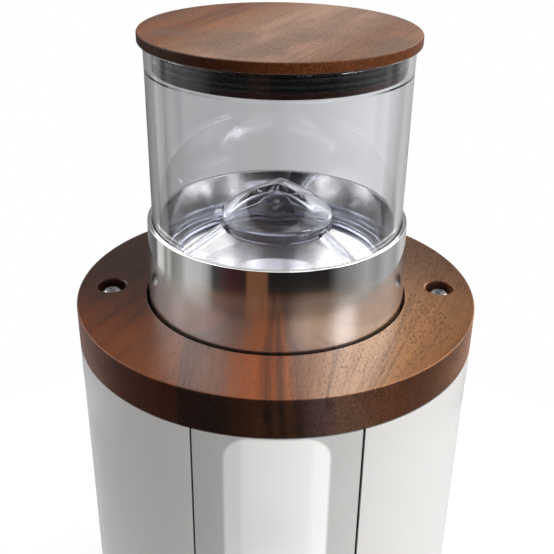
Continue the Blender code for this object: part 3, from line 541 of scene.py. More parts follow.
        # painted highlight: the rounded top edges are lightened
        nz = m.xyz(nrm)[2]
        edge_highlight = m.math("MULTIPLY", m.remap(nz, 0.22, 0.55), m.remap(nz, 0.985, 0.86))
        base = m.mix(m.math("MULTIPLY", edge_highlight, 0.6), base, m.mix(1.0, base, (2.2, 2.3, 2.5), "MULTIPLY"))
    m.set(Base_Color=base)
    m.set(Roughness=m.math("ADD", m.remap(fib, 0.3, 0.7, 0.30, 0.42, "LINEAR"), m.math("MULTIPLY", hole, 0.25)))
    h = m.math("SUBTRACT", m.math("MULTIPLY", fib, 0.35), m.math("MULTIPLY", hole, 0.65 * pore))
    m.bump(h, 0.22, 0.00012)
    return m.m


RING_STOPS = [
    (0.000, srgb(84, 50, 32)),
    (0.298, srgb(90, 54, 33)),        # x = -36: just right of the joint, greyish
    (0.345, srgb(108, 64, 39)),
    (0.385, srgb(118, 69, 40)),
    (0.415, srgb(146, 79, 36)),
    (0.455, srgb(160, 86, 36)),
    (0.478, srgb(108, 57, 29)),       # dark stripe
    (0.490, srgb(153, 82, 33)),
    (0.503, srgb(94, 49, 27)),        # dark stripe
    (0.517, srgb(157, 88, 37)),
    (0.540, srgb(120, 74, 45)),
    # from here to 0.740 a pale tan band: partly the wood's own colour, partly a painted highlight
    (0.565, srgb(153, 108, 79)),
    (0.620, srgb(203, 163, 134)),
    (0.690, srgb(212, 172, 138)),
    (0.740, srgb(196, 144, 97)),
    (0.830, srgb(153, 102, 57)),
    (0.900, srgb(127, 81, 43)),
    (1.000, srgb(104, 65, 36)),
]
LEFT_STOPS = [(0.0, srgb(125, 69, 31)), (0.45, srgb(116, 62, 32)), (0.75, srgb(82, 50, 32)), (1.0, srgb(74, 46, 32))]
M_RING = walnut("walnut_ring", 0.0, RING_STOPS, RING_TOP, lean=0.011, joint=-36.3, left=LEFT_STOPS, end_dark=0.92, seed=1.3, tone=(0.60, 0.55, 0.50), spec=0.32)
# colours across the lid's grain; the pale grey middle stops are partly painted sheen
LID_STOPS = [(0.0, srgb(70, 34, 13)), (0.21, srgb(78, 41, 18)), (0.27, srgb(106, 60, 27)), (0.32, srgb(94, 53, 27)), (0.37, srgb(119, 82, 56)),
             (0.43, srgb(120, 92, 75)), (0.50, srgb(151, 123, 107)), (0.57, srgb(128, 103, 90)), (0.63, srgb(139, 111, 95)), (0.70, srgb(108, 78, 60)), (0.78, srgb(118, 86, 66)), (1.0, srgb(104, 68, 44))]
M_LID = walnut("walnut_lid", 25.0, LID_STOPS, LID_TOP, end_dark=0.0, pore=0.6, grey=srgb(84, 70, 60), seed=4.6, fibre=1.25, tone=(1.30, 1.19, 1.10), spec=0.32, coat=0.06,
               rim=(0.106, 0.033, 0.0105), streak=0.85)


def polished(name):
    m = Mat(name, Metallic=1.0)
    x, y, z = m.xyz()
    ang = m.math("ARCTAN2", y, x)
    rad = m.math("SQRT", m.math("ADD", m.math("MULTIPLY", x, x), m.math("MULTIPLY", y, y)))
    # drawn marks run round the piece; scratches are short and few
    lines = m.noise(m.vec(m.math("MULTIPLY", ang, 1.3), m.math("MULTIPLY", rad, 0.9), m.math("MULTIPLY", z, 1.7)), 1.0, 4.0, 0.6)
    cloud = m.noise(m.scaled(0.05, 0.05, 0.05), 1.0, 3.0)
    sc = m.noise(m.vec(m.math("MULTIPLY", ang, 9.0), 0.0, m.math("MULTIPLY", z, 6.0)), 1.0, 5.0, 0.75, 1.5)
    scratch = m.remap(sc, 0.70, 0.74, 0.0, 1.0)
    m.set(Base_Color=m.ramp(m.math("ADD", m.math("MULTIPLY", lines, 0.5), m.math("MULTIPLY", cloud, 0.5)),
                            [(0.3, (0.70, 0.69, 0.68)), (0.7, (0.80, 0.795, 0.79))]))
    satin = m.remap(rad, 50.8, 50.2, 0.0, 0.09)
    brushed = m.remap(m.math("ADD", z, m.math("MULTIPLY", m.math("SUBTRACT", cloud, 0.5), 6.0)), RING_TOP + 26.0, RING_TOP + 20.0)
    m.set(Roughness=m.math("ADD", m.math("ADD", m.remap(brushed, 0.0, 1.0, 0.065, 0.15, "LINEAR"), satin), m.math("MULTIPLY", scratch, 0.2)))
    m.bump(m.math("ADD", m.math("MULTIPLY", lines, 0.4), m.math("MULTIPLY", scratch, -0.5)), 0.014, 0.00002)
    # turning marks round the outside spread what it mirrors up and down
    tan = m.node("ShaderNodeTangent", direction_type="RADIAL", axis="Z")
    m.set(Anisotropic=m.math("MULTIPLY", m.remap(rad, 50.4, 51.0, 0.0, 0.9), brushed), Anisotropic_Rotation=0.25, Tangent=tan.outputs[0])
    return m.m


def clear_plastic(name, tint, rough=0.012, wave=0.25, under=0.0, clear=1.0):
    m = Mat(name, Transmission_Weight=clear, IOR=1.49)
    haze = m.noise(m.scaled(0.08, 0.08, 0.05), 1.0, 3.0)
    sc = m.noise(m.scaled(1.4, 1.4, 0.25), 1.0, 4.0, 0.7, 0.8)
    scratch = m.remap(sc, 0.68, 0.72, 0.0, 1.0)
    dark = tuple(c * 0.985 for c in tint)
    col = m.ramp(haze, [(0.3, dark), (0.7, tint)])
    # the thick foot of the moulding is bluer
    foot = m.remap(m.xyz()[2], 324.0, 316.5, 0.0, 1.0)
    m.set(Base_Color=m.mix(foot, col, m.mix(1.0, col, (0.86, 0.88, 0.985), "MULTIPLY")))
    r = m.math("ADD", m.remap(haze, 0.3, 0.7, rough * 0.6, rough * 1.4, "LINEAR"), m.math("MULTIPLY", scratch, 0.03))
    if under:
        # the mould is only polished on its outer side
        r = m.math("ADD", r, m.remap(m.xyz(m.tc.outputs["Normal"])[2], -0.12, -0.35, 0.0, under))
    m.set(Roughness=r)
    flow = m.noise(m.scaled(0.32, 0.32, 0.010), 1.0, 2.0)      # upright flow lines from moulding
    m.bump(m.math("ADD", m.noise(m.scaled(0.07, 0.07, 0.05), 1.0, 2.0), m.math("MULTIPLY", flow, 0.22)), wave, 0.0003)
    return m.m


M_STEEL = polished("polished_steel")
M_CLEAR = clear_plastic("clear_hopper", (0.935, 0.94, 0.955), wave=0.10)
M_GUARD = clear_plastic("clear_guard", (0.865, 0.87, 0.955), wave=0.05, under=0.05, clear=0.97)


def silicone(name):
    """Black silicone whose lip crests are painted paler as a painted highlight."""
    m = Mat(name, Specular_IOR_Level=0.12)
    x, y, z = m.xyz()
    rad = m.math("SQRT", m.math("ADD", m.math("MULTIPLY", x, x), m.math("MULTIPLY", y, y)))
    fine = m.noise(m.scaled(1.2, 1.2, 1.2), 1.0, 3.0)
    # painted highlight: the lip crests are lightened
    crest = m.remap(rad, 48.9, 49.15, 0.0, 1.0)
    m.set(Base_Color=m.mix(crest, m.ramp(fine, [(0.3, (0.002, 0.002, 0.0025)), (0.7, (0.0035, 0.0035, 0.004))]), (0.014, 0.0145, 0.0155)))
    m.set(Roughness=m.remap(fine, 0.3, 0.7, 0.22, 0.30, "LINEAR"))
    m.bump(fine, 0.02, 0.00003)
    return m.m


M_SEAL = silicone("black_silicone")
M_BASE = coated("white_paint_base", (0.485, 0.479, 0.470), 0.24, 0.015, 0.9, 0.12, 0.00005, Coat_Weight=0.2, Coat_Roughness=0.08)
M_SPOUT = coated("white_paint_spout", (0.51, 0.505, 0.497), 0.18, 0.010, 0.45, 0.035, 0.00002, Coat_Weight=0.3, Coat_Roughness=0.05)
M_SCREW = metal("screw_steel", (0.60, 0.60, 0.61), 0.20, (0.5, 0.5, 2.5))
M_BLACK = coated("black_plastic", (0.020, 0.020, 0.022), 0.42, 0.15, 2.2, 0.35, 0.00008)
M_GLOSSBLACK = coated("black_plastic_gloss", (0.016, 0.016, 0.018), 0.16, 0.12, 0.8, 0.08, 0.00003)
M_RUBBER = coated("black_rubber", (0.016, 0.016, 0.016), 0.72, 0.2, 2.6, 0.5, 0.0001)
M_NOZZLE = coated("black_silicone_nozzle", (0.018, 0.018, 0.019), 0.5, 0.2, 1.5, 0.2, 0.00006)
M_TRAY = metal("tray_steel", (0.62, 0.62, 0.62), 0.26, (3.0, 0.04, 0.5))
M_FORK = metal("fork_steel", (0.70, 0.70, 0.69), 0.12, (0.6, 0.1, 0.6), bump=0.04)
M_BRACKET = metal("zinc_plate", (0.60, 0.61, 0.62), 0.34, (0.3, 0.3, 2.0))
M_SPRING = metal("spring_steel", (0.52, 0.52, 0.52), 0.28, (0.8, 0.8, 0.8))
M_PIN = metal("nickel_pin", (0.66, 0.65, 0.62), 0.24, (0.5, 2.0, 0.5))


def body_paint(name, field, boss=None):
    """Gloss paint of the round body; the raised boss gets a brighter copy of the paint as painted light, and the edges
    inside the seams are darkened as painted shade."""
    m = Mat(name, Coat_Weight=0.12, Coat_Roughness=0.04, Specular_IOR_Level=0.36)
    x, y, z = m.xyz()
    big = m.noise(m.scaled(0.02, 0.02, 0.02), 1.0, 2.0)
    col = m.ramp(big, [(0.3, tuple(c * 0.985 for c in field)), (0.7, tuple(c * 1.015 for c in field))])
    # painted light: the boss face gets a brighter copy of the paint
    if boss:
        qx = m.math("MAXIMUM", m.math("SUBTRACT", m.math("ABSOLUTE", x), 9.7), 0.0)
        qz = m.math("MAXIMUM", m.math("SUBTRACT", z, 272.4), 0.0)
        d = m.math("SQRT", m.math("ADD", m.math("MULTIPLY", qx, qx), m.math("MULTIPLY", qz, qz)))
        face = m.ramp(big, [(0.3, tuple(c * 0.99 for c in boss)), (0.7, tuple(c * 1.01 for c in boss))])
        col = m.mix(m.remap(d, 10.8, 9.2, 0.0, 1.0), col, face)
    rad = m.math("SQRT", m.math("ADD", m.math("MULTIPLY", x, x), m.math("MULTIPLY", y, y)))
    # painted shade: the faces inside the seam gaps are darkened
    col = m.mix(m.remap(rad, R - 1.1, R - 0.45, 1.0, 0.0), col, m.mix(1.0, col, (0.05, 0.055, 0.055), "MULTIPLY"))
    m.set(Base_Color=col)
    fine = m.noise(m.scaled(0.45, 0.45, 0.45), 1.0, 3.0, 0.55)
    m.set(Roughness=m.remap(fine, 0.25, 0.75, 0.13, 0.18, "LINEAR"))
    m.bump(fine, 0.03, 0.00002)
    return m.m


M_SHELL = body_paint("white_paint_shell", (0.485, 0.477, 0.468))
# the front panel's field is a darker copy of the shell paint as painted shade, and its boss a brighter copy as painted
# light
M_FRONT = body_paint("white_paint_front", (0.392, 0.390, 0.382), (0.685, 0.692, 0.680))

# inner parts keep their CAD shape and take these
INNER = {
    "top_plate": metal("cast_top_plate", (0.55, 0.56, 0.57), 0.46, (0.4, 0.4, 0.4), 0.10, 0.3, 0.0001),
    "burr_chamber": metal("machined_chamber", (0.62, 0.63, 0.64), 0.30, (0.05, 0.05, 2.0)),
    "upper_burr_carrier": metal("brass_carrier", (0.72, 0.52, 0.22), 0.28, (0.05, 0.05, 2.2)),
    "upper_burr": metal("upper_burr_steel", (0.42, 0.42, 0.44), 0.26, (1.5, 0.2, 0.2)),
    "lower_burr": metal("lower_burr_steel", (0.42, 0.42, 0.44), 0.26, (0.2, 1.5, 0.2)),
    "lower_burr_carrier": metal("machined_carrier", (0.60, 0.61, 0.62), 0.32, (0.05, 0.05, 2.0)),
    "burr_nut": metal("zinc_nut", (0.60, 0.61, 0.60), 0.34, (1.0, 1.0, 0.3)),
    "carrier_spring": metal("carrier_spring_steel", (0.50, 0.50, 0.51), 0.28, (0.8, 0.8, 0.8)),
    "motor_top_cap": metal("cast_cap_top", (0.55, 0.56, 0.57), 0.48, (0.5, 0.5, 0.5), 0.10, 0.3, 0.0001),
    "motor_bottom_cap": metal("cast_cap_bottom", (0.55, 0.56, 0.57), 0.48, (0.5, 0.5, 0.5), 0.10, 0.3, 0.0001),
    "motor_housing": coated("motor_can_paint", (0.05, 0.055, 0.06), 0.42, 0.12, 0.9, 0.2, 0.00006),
    "stator": metal("stator_laminations", (0.24, 0.24, 0.26), 0.48, (0.05, 0.05, 6.0), 0.25, 0.5, 0.0002),
    "rotor": metal("rotor_laminations", (0.30, 0.28, 0.27), 0.44, (0.05, 0.05, 6.0), 0.25, 0.5, 0.0002),
    "upper_bearing": metal("bearing_steel_upper", (0.50, 0.50, 0.51), 0.18, (0.05, 0.05, 3.0)),
    "lower_bearing": metal("bearing_steel_lower", (0.50, 0.50, 0.51), 0.18, (0.05, 0.05, 3.0)),
    "drive_shaft": metal("shaft_steel", (0.56, 0.56, 0.57), 0.22, (0.05, 0.05, 3.0)),
    "cooling_fan": coated("fan_plastic", (0.022, 0.022, 0.024), 0.45, 0.15, 2.0, 0.3, 0.00008),
    "capacitor": coated("capacitor_case", (0.72, 0.72, 0.69), 0.38, 0.04, 1.2, 0.12, 0.00005),
    "control_board": coated("circuit_board", (0.02, 0.13, 0.06), 0.42, 0.18, 0.5, 0.3, 0.0001, patch=0.15),
    "micro_switch": coated("switch_case", (0.02, 0.02, 0.022), 0.4, 0.15, 2.0, 0.3, 0.00008),
    "chassis_post_front_left": None, "chassis_post_front_right": None,
    "chassis_post_rear_left": None, "chassis_post_rear_right": None,
    "base_cover": metal("cover_plate", (0.55, 0.56, 0.57), 0.40, (2.0, 0.05, 0.2)),
    "chute": coated("chute_plastic", (0.022, 0.022, 0.024), 0.40, 0.15, 2.0, 0.3, 0.00008),
}
M_POST = metal("zinc_post", (0.58, 0.59, 0.60), 0.34, (0.05, 0.05, 2.5))
for name, m in INNER.items():
    mats = nodes[name].data.materials
    mats.clear()
    mats.append(m or M_POST)

# ==================================================================== pieces
# ------------------------------------------------------------------ lid, seal
z_under = LID_TOP - 4.2
lid = lathe("lid_walnut", [
    (0, LID_TOP), (54.1, LID_TOP, 0.9), (54.1, z_under, 0.7), (48.2, z_under, 0.2), (48.2, z_under - 1.8, 0.3),
    (45.0, z_under - 1.8, 0.2), (45.0, 398.7, 0.2), (48.6, 398.7, 0.5), (48.6, 396.5, 0.7), (0, 396.5)],
    M_LID, 180, seg=5)
smooth(lid)
piece(lid, "lid", "lid", slot="walnut_lid")
seal = lathe("lid_seal_lips", [
    (45.3, 404.3, 0.3), (46.6, 404.3, 0.3), (49.2, 404.0, 0.35), (49.2, 403.2, 0.3), (47.4, 402.6, 0.4), (49.2, 401.4, 0.35),
    (49.2, 400.6, 0.3), (47.4, 400.0, 0.4), (49.0, 399.5, 0.2), (49.0, 399.0, 0.2), (45.3, 399.0, 0.3)], M_SEAL, 144, seg=3)
smooth(seal, 50)
piece(seal, "lid", "lid_seal", slot="black_silicone")

# --------------------------------------------------------------------- hopper
hopper = lathe("hopper_clear", [
    (52.0, 406.1, 0.8), (51.85, 396.0, 0.3), (51.75, 334.4), (51.6, 317.0, 0.5), (50.9, 314.0, 0.8), (44.4, 314.0, 0.4),
    (44.4, 316.8, 0.5), (47.8, 317.0, 1.2), (48.9, 320.0, 2.0), (49.4, 395.6, 0.2), (49.6, 396.4, 0.2), (49.6, 406.1, 0.8)],
    M_CLEAR, 192, seg=5)
smooth(hopper)
piece(hopper, "hopper", "hopper", slot="clear_hopper")

# ----------------------------------------------------------------- bean guard
LEGS = (81.5, 201.5, 321.5)
GUARD_R, APEX, SHELF = 23.0, 348.0, 336.2


def guard_height(r, ang):
    t = min(max(r / GUARD_R, 0.0), 1.0)
    off = abs((ang - LEGS[0] + 60.0) % 120.0 - 60.0) / 60.0
    ridge = (1.0 - math.sqrt(off * off + 0.0025)) if off < 0.999 else 0.0
    sag = 0.34 * (1.0 - max(ridge, 0.0) ** 1.25)
    blend = min(t / 0.35, 1.0)
    return (APEX - SHELF) * (1.0 - t ** 2.8) * (1.0 - sag * blend * blend * (3.0 - 2.0 * blend))


def guard_bm(n=150):
    bm = bmesh.new()
    radii = [0.6, 1.4, 2.4, 3.6, 5, 6.5, 8, 9.5, 11, 12.5, 14, 15.5, 17, 18.4, 19.6, 20.6, 21.5, 22.2, 22.7, 22.95]
    rows = [[bm.verts.new((r * math.cos(2 * math.pi * k / n), r * math.sin(2 * math.pi * k / n),
                           SHELF + guard_height(r, 360.0 * k / n))) for k in range(n)] for r in radii]
    for r, z in ((23.08, SHELF - 0.45), (23.12, SHELF - 1.0), (23.2, SHELF - 3.0), (23.3, 331.2), (23.25, 330.9), (22.9, 330.8)):
        rows.append([bm.verts.new((r * math.cos(2 * math.pi * k / n), r * math.sin(2 * math.pi * k / n), z)) for k in range(n)])
    # inner skin, back up to the apex
    for r, z in ((21.6, 330.8), (21.3, 331.1), (21.2, 333.0), (21.1, SHELF - 1.9)):
        rows.append([bm.verts.new((r * math.cos(2 * math.pi * k / n), r * math.sin(2 * math.pi * k / n), z)) for k in range(n)])
    for r in (20.5, 19.4, 18.0, 16.5, 15, 13.5, 12, 10.5, 9, 7.5, 6, 4.5, 3.2, 2.0, 1.0):
        rows.append([bm.verts.new((r * math.cos(2 * math.pi * k / n), r * math.sin(2 * math.pi * k / n),
                                   SHELF - 1.9 + guard_height(r * 1.09, 360.0 * k / n) * 0.84)) for k in range(n)])
    top = bm.verts.new((0, 0, SHELF + guard_height(0, 0)))
    inner = bm.verts.new((0, 0, SHELF - 1.9 + guard_height(0, 0) * 0.84))
    for k in range(n):
        j = (k + 1) % n
        bm.faces.new((top, rows[0][k], rows[0][j]))
        bm.faces.new((inner, rows[-1][j], rows[-1][k]))
        for a, b in zip(rows, rows[1:]):
            bm.faces.new((a[k], b[k], b[j], a[j]))
    return bm


guard = make("bean_guard_clear", guard_bm(), M_GUARD)
leg_bm = bmesh.new()
for ang in LEGS:
    c, s = math.cos(math.radians(ang)), math.sin(math.radians(ang))
    p0, p1 = Vector((22.4 * c, 22.4 * s, 332.8)), Vector((46.4 * c, 46.4 * s, 318.7))
    d = p1 - p0
    m4 = Matrix.Translation((p0 + p1) * 0.5) @ Matrix.Rotation(math.radians(ang), 4, "Z") @ \
        Matrix.Rotation(math.atan2(-d.z, math.hypot(d.x, d.y)), 4, "Y")
    sec = round_rect(5.0, 2.5, 0.55, 3)
    low = [leg_bm.verts.new(m4 @ Vector((-d.length / 2, y, z))) for y, z in sec]
    high = [leg_bm.verts.new(m4 @ Vector((d.length / 2, y, z))) for y, z in sec]
    leg_bm.faces.new(list(reversed(low)))
    leg_bm.faces.new(high)
    for i in range(len(sec)):
        j = (i + 1) % len(sec)
        leg_bm.faces.new((low[i], low[j], high[j], high[i]))
legs = make("guard_legs_tmp", leg_bm)
cut(guard, legs, "UNION")
bake_mods(guard, legs)
smooth(guard, 40, weighted=False)
piece(guard, "hopper", "bean_guard", slot="clear_hopper")

# --------------------------------------------------------------- grind collar
collar = lathe("grind_collar_polished", [
    (53.75, 334.35, 0.3), (54.7, 300.0), (54.9, 271.0, 0.5), (51.9, 271.0, 0.3), (51.8, 304.5, 1.5), (44.4, 308.6, 2.0),
    (26.2, 289.0, 1.0), (26.2, 276.8, 0.3), (23.6, 276.8, 0.3), (23.6, 290.2, 1.2), (30.0, 299.0, 6.0), (36.5, 305.9, 8.0), (43.8, 312.2, 1.5), (51.2, 313.6, 0.5),
    (52.0, 316.0, 0.8), (52.0, 334.35, 0.2)], M_STEEL, 216, seg=6)
smooth(collar)
piece(collar, "grind_collar", "grind_collar", slot="polished_steel")

# ------------------------------------------------------------- ring and screws
ring_z0 = RING_TOP - 17.0
ring = lathe("wood_ring_walnut", [
    (R, RING_TOP, 0.7), (R, ring_z0, 0.6), (55.8, ring_z0, 0.4), (55.8, RING_TOP, 0.7)], M_RING, 240, seg=5)
SCREWS = {"left": 180.0, "right": 0.0, "rear": 90.0}
PCR, HEAD = 71.3, 297.8
for side, a in SCREWS.items():
    x, y = PCR * math.cos(math.radians(a)), PCR * math.sin(math.radians(a))
    bore = make("bore_tmp", lathe_bm(rounded([(0, 303), (7.2, 303), (7.2, RING_TOP + 0.5), (6.2, RING_TOP - 0.5), (6.2, 292.2), (3.4, 292.2),
                                      (3.4, ring_z0 - 3), (0, ring_z0 - 3)], 3, False), 48, (x, y)))
    cut(ring, bore)
    bake_mods(ring, bore)
    head = lathe("ring_screw_" + side + "_steel", [
        (0, HEAD), (2.9, HEAD, 0.3), (4.2, HEAD - 0.6, 1.0), (4.95, HEAD - 2.2, 0.5), (5.0, 292.5, 0.2), (3.0, 292.5), (3.0, 266.6, 0.0),
        (2.5, 266.0), (0, 266.0)], M_SCREW, 48, at=(x, y), seg=4)
    hx = make("hex_tmp", lathe_bm([(0, HEAD + 1), (2.31, HEAD + 1), (2.31, HEAD - 2.3), (0, HEAD - 3.2)], 6, (x, y)))
    cut(head, hx)
    bake_mods(head, hx)
    smooth(head, 35)
    piece(head, "housing", "ring_screw_" + side, slot="screw_steel")
smooth(ring, 32)
piece(ring, "housing", "wood_ring", slot="walnut")

# -------------------------------------------------------------- body shells
TOP, BOT, SH = ring_z0 - 0.3, 36.3, 0.2
shell_prof = [(72.0, TOP, 0.3), (R, TOP, SH), (R, BOT, 0.5), (R - 2.5, BOT, 0.5), (R - 2.5, TOP - 2.5, 1.5), (72.0, TOP - 2.5, 0.3)]
SEAM, REAR, HALF_GAP = 22.0, 38.0, math.degrees(0.45 / 85.0)
right = sector("shell_right_white", shell_prof, M_SHELL, -90 + SEAM + HALF_GAP * 1.5, 90 - REAR - HALF_GAP, 64, seg=8)
left = sector("shell_left_white", shell_prof, M_SHELL, 90 + REAR + HALF_GAP, 270 - SEAM - HALF_GAP, 64, seg=8)
rear = sector("rear_panel_white", shell_prof, M_SHELL, 90 - REAR + HALF_GAP, 90 + REAR - HALF_GAP, 48, seg=8)
for side, ob in (("left", left), ("right", right), ("rear", rear)):
    x, y = PCR * math.cos(math.radians(SCREWS[side])), PCR * math.sin(math.radians(SCREWS[side]))
    c = rod_between("hole_tmp", (x, y, 270), (x, y, 290), 3.6, steps=40)
    cut(ob, c)
    bake_mods(ob, c)
INLET_Z = 62.0
slot_bm = bmesh.new()
for k in range(6):
    prof = round_rect(46.0, 3.2, 1.59, 6, 0, 130.0 + 9.0 * k)
    a = [slot_bm.verts.new((x, 70.0, z)) for x, z in prof]
    b = [slot_bm.verts.new((x, 98.0, z)) for x, z in prof]
    slot_bm.faces.new(a)
    slot_bm.faces.new(list(reversed(b)))
    for i in range(len(a)):
        j = (i + 1) % len(a)
        slot_bm.faces.new((a[i], b[i], b[j], a[j]))
prof = round_rect(28.8, 22.8, 2.0, 4, 0, INLET_Z)
a = [slot_bm.verts.new((x, 70.0, z)) for x, z in prof]
b = [slot_bm.verts.new((x, 98.0, z)) for x, z in prof]
slot_bm.faces.new(a)
slot_bm.faces.new(list(reversed(b)))
for i in range(len(a)):
    j = (i + 1) % len(a)
    slot_bm.faces.new((a[i], b[i], b[j], a[j]))
slots = make("slots_tmp", slot_bm)
cut(rear, slots)
bake_mods(rear, slots)

# front panel: the round skin with a flat boss that has wide rounded flanks
FACE, B_HALF, B_TOP, B_EDGE, B_CORNER = 85.35, 20.4, 283.6, 8.3, 11.0


def boss_front(x, z):
    """How far forward the boss stands at x, z; None beside it."""
    qx, qz = abs(x) - (B_HALF - B_CORNER), z - (B_TOP - B_CORNER)
    d = B_CORNER - math.hypot(max(qx, 0.0), max(qz, 0.0)) - min(max(qx, qz), 0.0)
    if d < 0.0:
        return None
    t = max(B_EDGE - d, 0.0)
    return FACE - (t * t / 5.0 if t < 0.96 else 0.384 * (t - 0.48))


def panel_warp(ang, r, z):
    if r < R - 6.5 or z < BOT - 1:
        return r
    if r < R - 1.0 and z < TOP - 4.0:      # inner skin
        return r
    if z < TOP - 4.0 and r < R - 0.6:
        return r
    if z <= TOP - 2.4 and r < R - 2.0:
        return r
    th = math.radians(ang + 90.0)
    rho = r
    for _ in range(8):
        f = boss_front(rho * math.sin(th), z)
        if f is None:
            break
        rho = f / math.cos(th)
    f = boss_front(rho * math.sin(th), z)
    return max(r, rho) if f is not None else r


outer = rounded([(72.0, TOP, 0.3), (R, TOP, SH), (R, BOT, 0.5), (R - 2.5, BOT, 0.5), (R - 2.5, TOP - 2.5, 1.5), (72.0, TOP - 2.5, 0.3)], 10)
# extra rows near the boss's top edge
rows = []
for i, p in enumerate(outer):
    rows.append(p)
    q = outer[(i + 1) % len(outer)]
    if abs(p[0] - R) < 1e-6 and abs(q[0] - R) < 1e-6:
        for z in [281.8 - 0.5 * k for k in range(40)] + [259.5, 255, 225, 190, 150, 110, 70]:
            if min(p[1], q[1]) < z < max(p[1], q[1]):
                rows.append((R, z))
xs = [0, 2.0, 4.0, 5.5, 7.0, 8.5, 10, 11.0, 11.6] + [12.0 + 0.24 * k for k in range(6)]
x = xs[-1]
while x < 18.2:
    x += 0.55
    xs.append(x)
while x < 20.8:
    x += 0.2
    xs.append(x)
xs += [21.4, 22.5, 24, 26, 28, 30]
edge_a = SEAM - HALF_GAP
ths = [math.degrees(math.asin(v / R)) for v in xs] + [edge_a]
angles = [-90 - t for t in reversed(ths[1:])] + [-90 + t for t in ths]
front = sector("front_panel_white", rows, M_FRONT, 0, 0, 0, warp=panel_warp, seg=0, angles=angles)
CH0 = Vector((0, -36.0, 234.8))
SLOPE = Vector((0, -math.cos(math.radians(35.0)), -math.sin(math.radians(35.0))))


def on_chute(y):
    return CH0 + SLOPE * ((y - CH0.y) / SLOPE.y)


for cyl in (rod_between("port_tmp", on_chute(-70), on_chute(-100), 14.2, steps=64),
            rod_between("stem_tmp", (0, -110, 112), (0, -70, 112), 3.1, steps=32)):
    cut(front, cyl)
    bake_mods(front, cyl)
for ob, node in ((right, "side_shell_right"), (left, "side_shell_left"), (rear, "rear_panel"), (front, "front_panel")):
    clean(ob)
    bevel(ob, 0.45, 3, 60)
    bake_mods(ob)
    smooth(ob, 34)
    piece(ob, "housing", node, slot="white_paint")

# ----------------------------------------------------------------------- base
B_Z0, B_Z1, B_FRONT, B_HALFW = 8.6, 36.0, -155.0, 56.0


def base_outline(inset, n_round=64, n_corner=12):
    r, h, cr, fy = R - inset, B_HALFW - inset, 24.0 - inset * 0.6, B_FRONT + inset
    a = math.degrees(math.asin(h / r))
    out = [(r * math.cos(math.radians(-90 + a + (360 - 2 * a) * i / n_round)),
            r * math.sin(math.radians(-90 + a + (360 - 2 * a) * i / n_round))) for i in range(n_round + 1)]
    for cx, a0 in ((-h + cr, 180.0), (h - cr, 270.0)):
        out += [(cx + cr * math.cos(math.radians(a0 + 90.0 * i / n_corner)),
                 fy + cr + cr * math.sin(math.radians(a0 + 90.0 * i / n_corner))) for i in range(n_corner + 1)]
    return out


base = outline_prism("base_casting_white", base_outline(0.0), B_Z0, B_Z1, M_BASE)
bevel(base, 1.8, 4, 60)
bake_mods(base)
hollow = outline_prism("hollow_tmp", base_outline(7.0), 4.0, 24.0, None)
recess = outline_prism("recess_tmp", round_rect(92.0, 55.0, 5.0, 6, 0.0, -119.5), 28.5, 42.0, None)
rocker_hole = outline_prism("rocker_tmp", round_rect(14.0, 19.2, 0.4, 2, 54.0, -104.0), 11.9, 25.1, None)
vent = rod_between("vent_tmp", (0, 0, 20), (0, 0, 40), 34.0, steps=64)
for c in (hollow, recess, rocker_hole, vent):
    cut(base, c)
    bake_mods(base, c)
clean(base)
smooth(base, 32)
piece(base, "housing", "base_casting", slot="white_paint")

for k, (x, y) in {"front_left": (-38, -132), "front_right": (38, -132), "rear_left": (-48, 52), "rear_right": (48, 52)}.items():
    foot = lathe("foot_" + k + "_rubber", [(0, 6.3), (12.0, 6.3, 0.5), (12.5, 5.4, 0.6), (11.2, 0.6, 0.8), (10.2, 0.0, 0.4),
                                            (7.5, 0.0, 0.3), (6.9, 0.7, 0.3), (5.4, 0.7, 0.3), (4.8, 0.0, 0.3), (0, 0.0)],
                 M_RUBBER, 48, at=(x, y), seg=3)
    smooth(foot, 45)
    piece(foot, "housing", "foot_" + k, slot="rubber")

# ----------------------------------------------------------------- catch tray
tray = outline_prism("catch_tray_steel", round_rect(91.0, 54.0, 4.6, 8, 0.0, -119.5), 28.8, 40.0, M_TRAY)
dish = outline_prism("dish_tmp", round_rect(87.6, 50.6, 3.4, 8, 0.0, -119.5), 30.5, 50.0, None)
bevel(dish, 1.6, 4, 60)
cut(tray, dish)
bake_mods(tray, dish)
bevel(tray, 0.55, 3, 60)
bake_mods(tray)
smooth(tray, 35)
piece(tray, "catch_tray", "catch_tray", slot="tray_steel")

# -------------------------------------------------------- spout, nozzle, fork
side = [(-85.7, 221.5), (-102.0, 221.5)]
side += [(-106.0 + 22.0 * math.cos(math.radians(w)), 199.5 + 22.0 * math.sin(math.radians(w))) for w in range(96, 181, 6)]
side += [(-128.0, 176.0), (-127.0, 172.0), (-124.0, 168.0), (-100.0, 168.0), (-85.7, 178.0)]
to_x = Matrix(((0, 0, 1, 0), (1, 0, 0, 0), (0, 1, 0, 0), (0, 0, 0, 1)))
spout = outline_prism("spout_housing_white", side, -18.5, 18.5, M_SPOUT, rot=to_x)
bevel(spout, 3.2, 5, 55)
bake_mods(spout)
for c in (rod_between("slant_tmp", on_chute(-80), on_chute(-112), 11.5, steps=48),
          rod_between("down_tmp", (0, -112, 160), (0, -112, 191), 11.6, steps=48)):
    cut(spout, c)
    bake_mods(spout, c)
clean(spout)
smooth(spout, 32)
piece(spout, "housing", "spout_housing", slot="white_paint")
nozzle = lathe("spout_nozzle_silicone", [
    (15.5, 167.7, 0.5), (15.3, 165.2, 0.4), (14.6, 164.6, 0.3), (14.7, 163.0, 1.0), (11.0, 150.0, 0.6), (9.4, 150.0, 0.5), (12.6, 163.0, 0.8), (12.9, 167.7, 0.3)],
    M_NOZZLE, 72, at=(0, -112.0), seg=4)
smooth(nozzle, 45)
piece(nozzle, "housing", "spout_nozzle", slot="black_silicone")

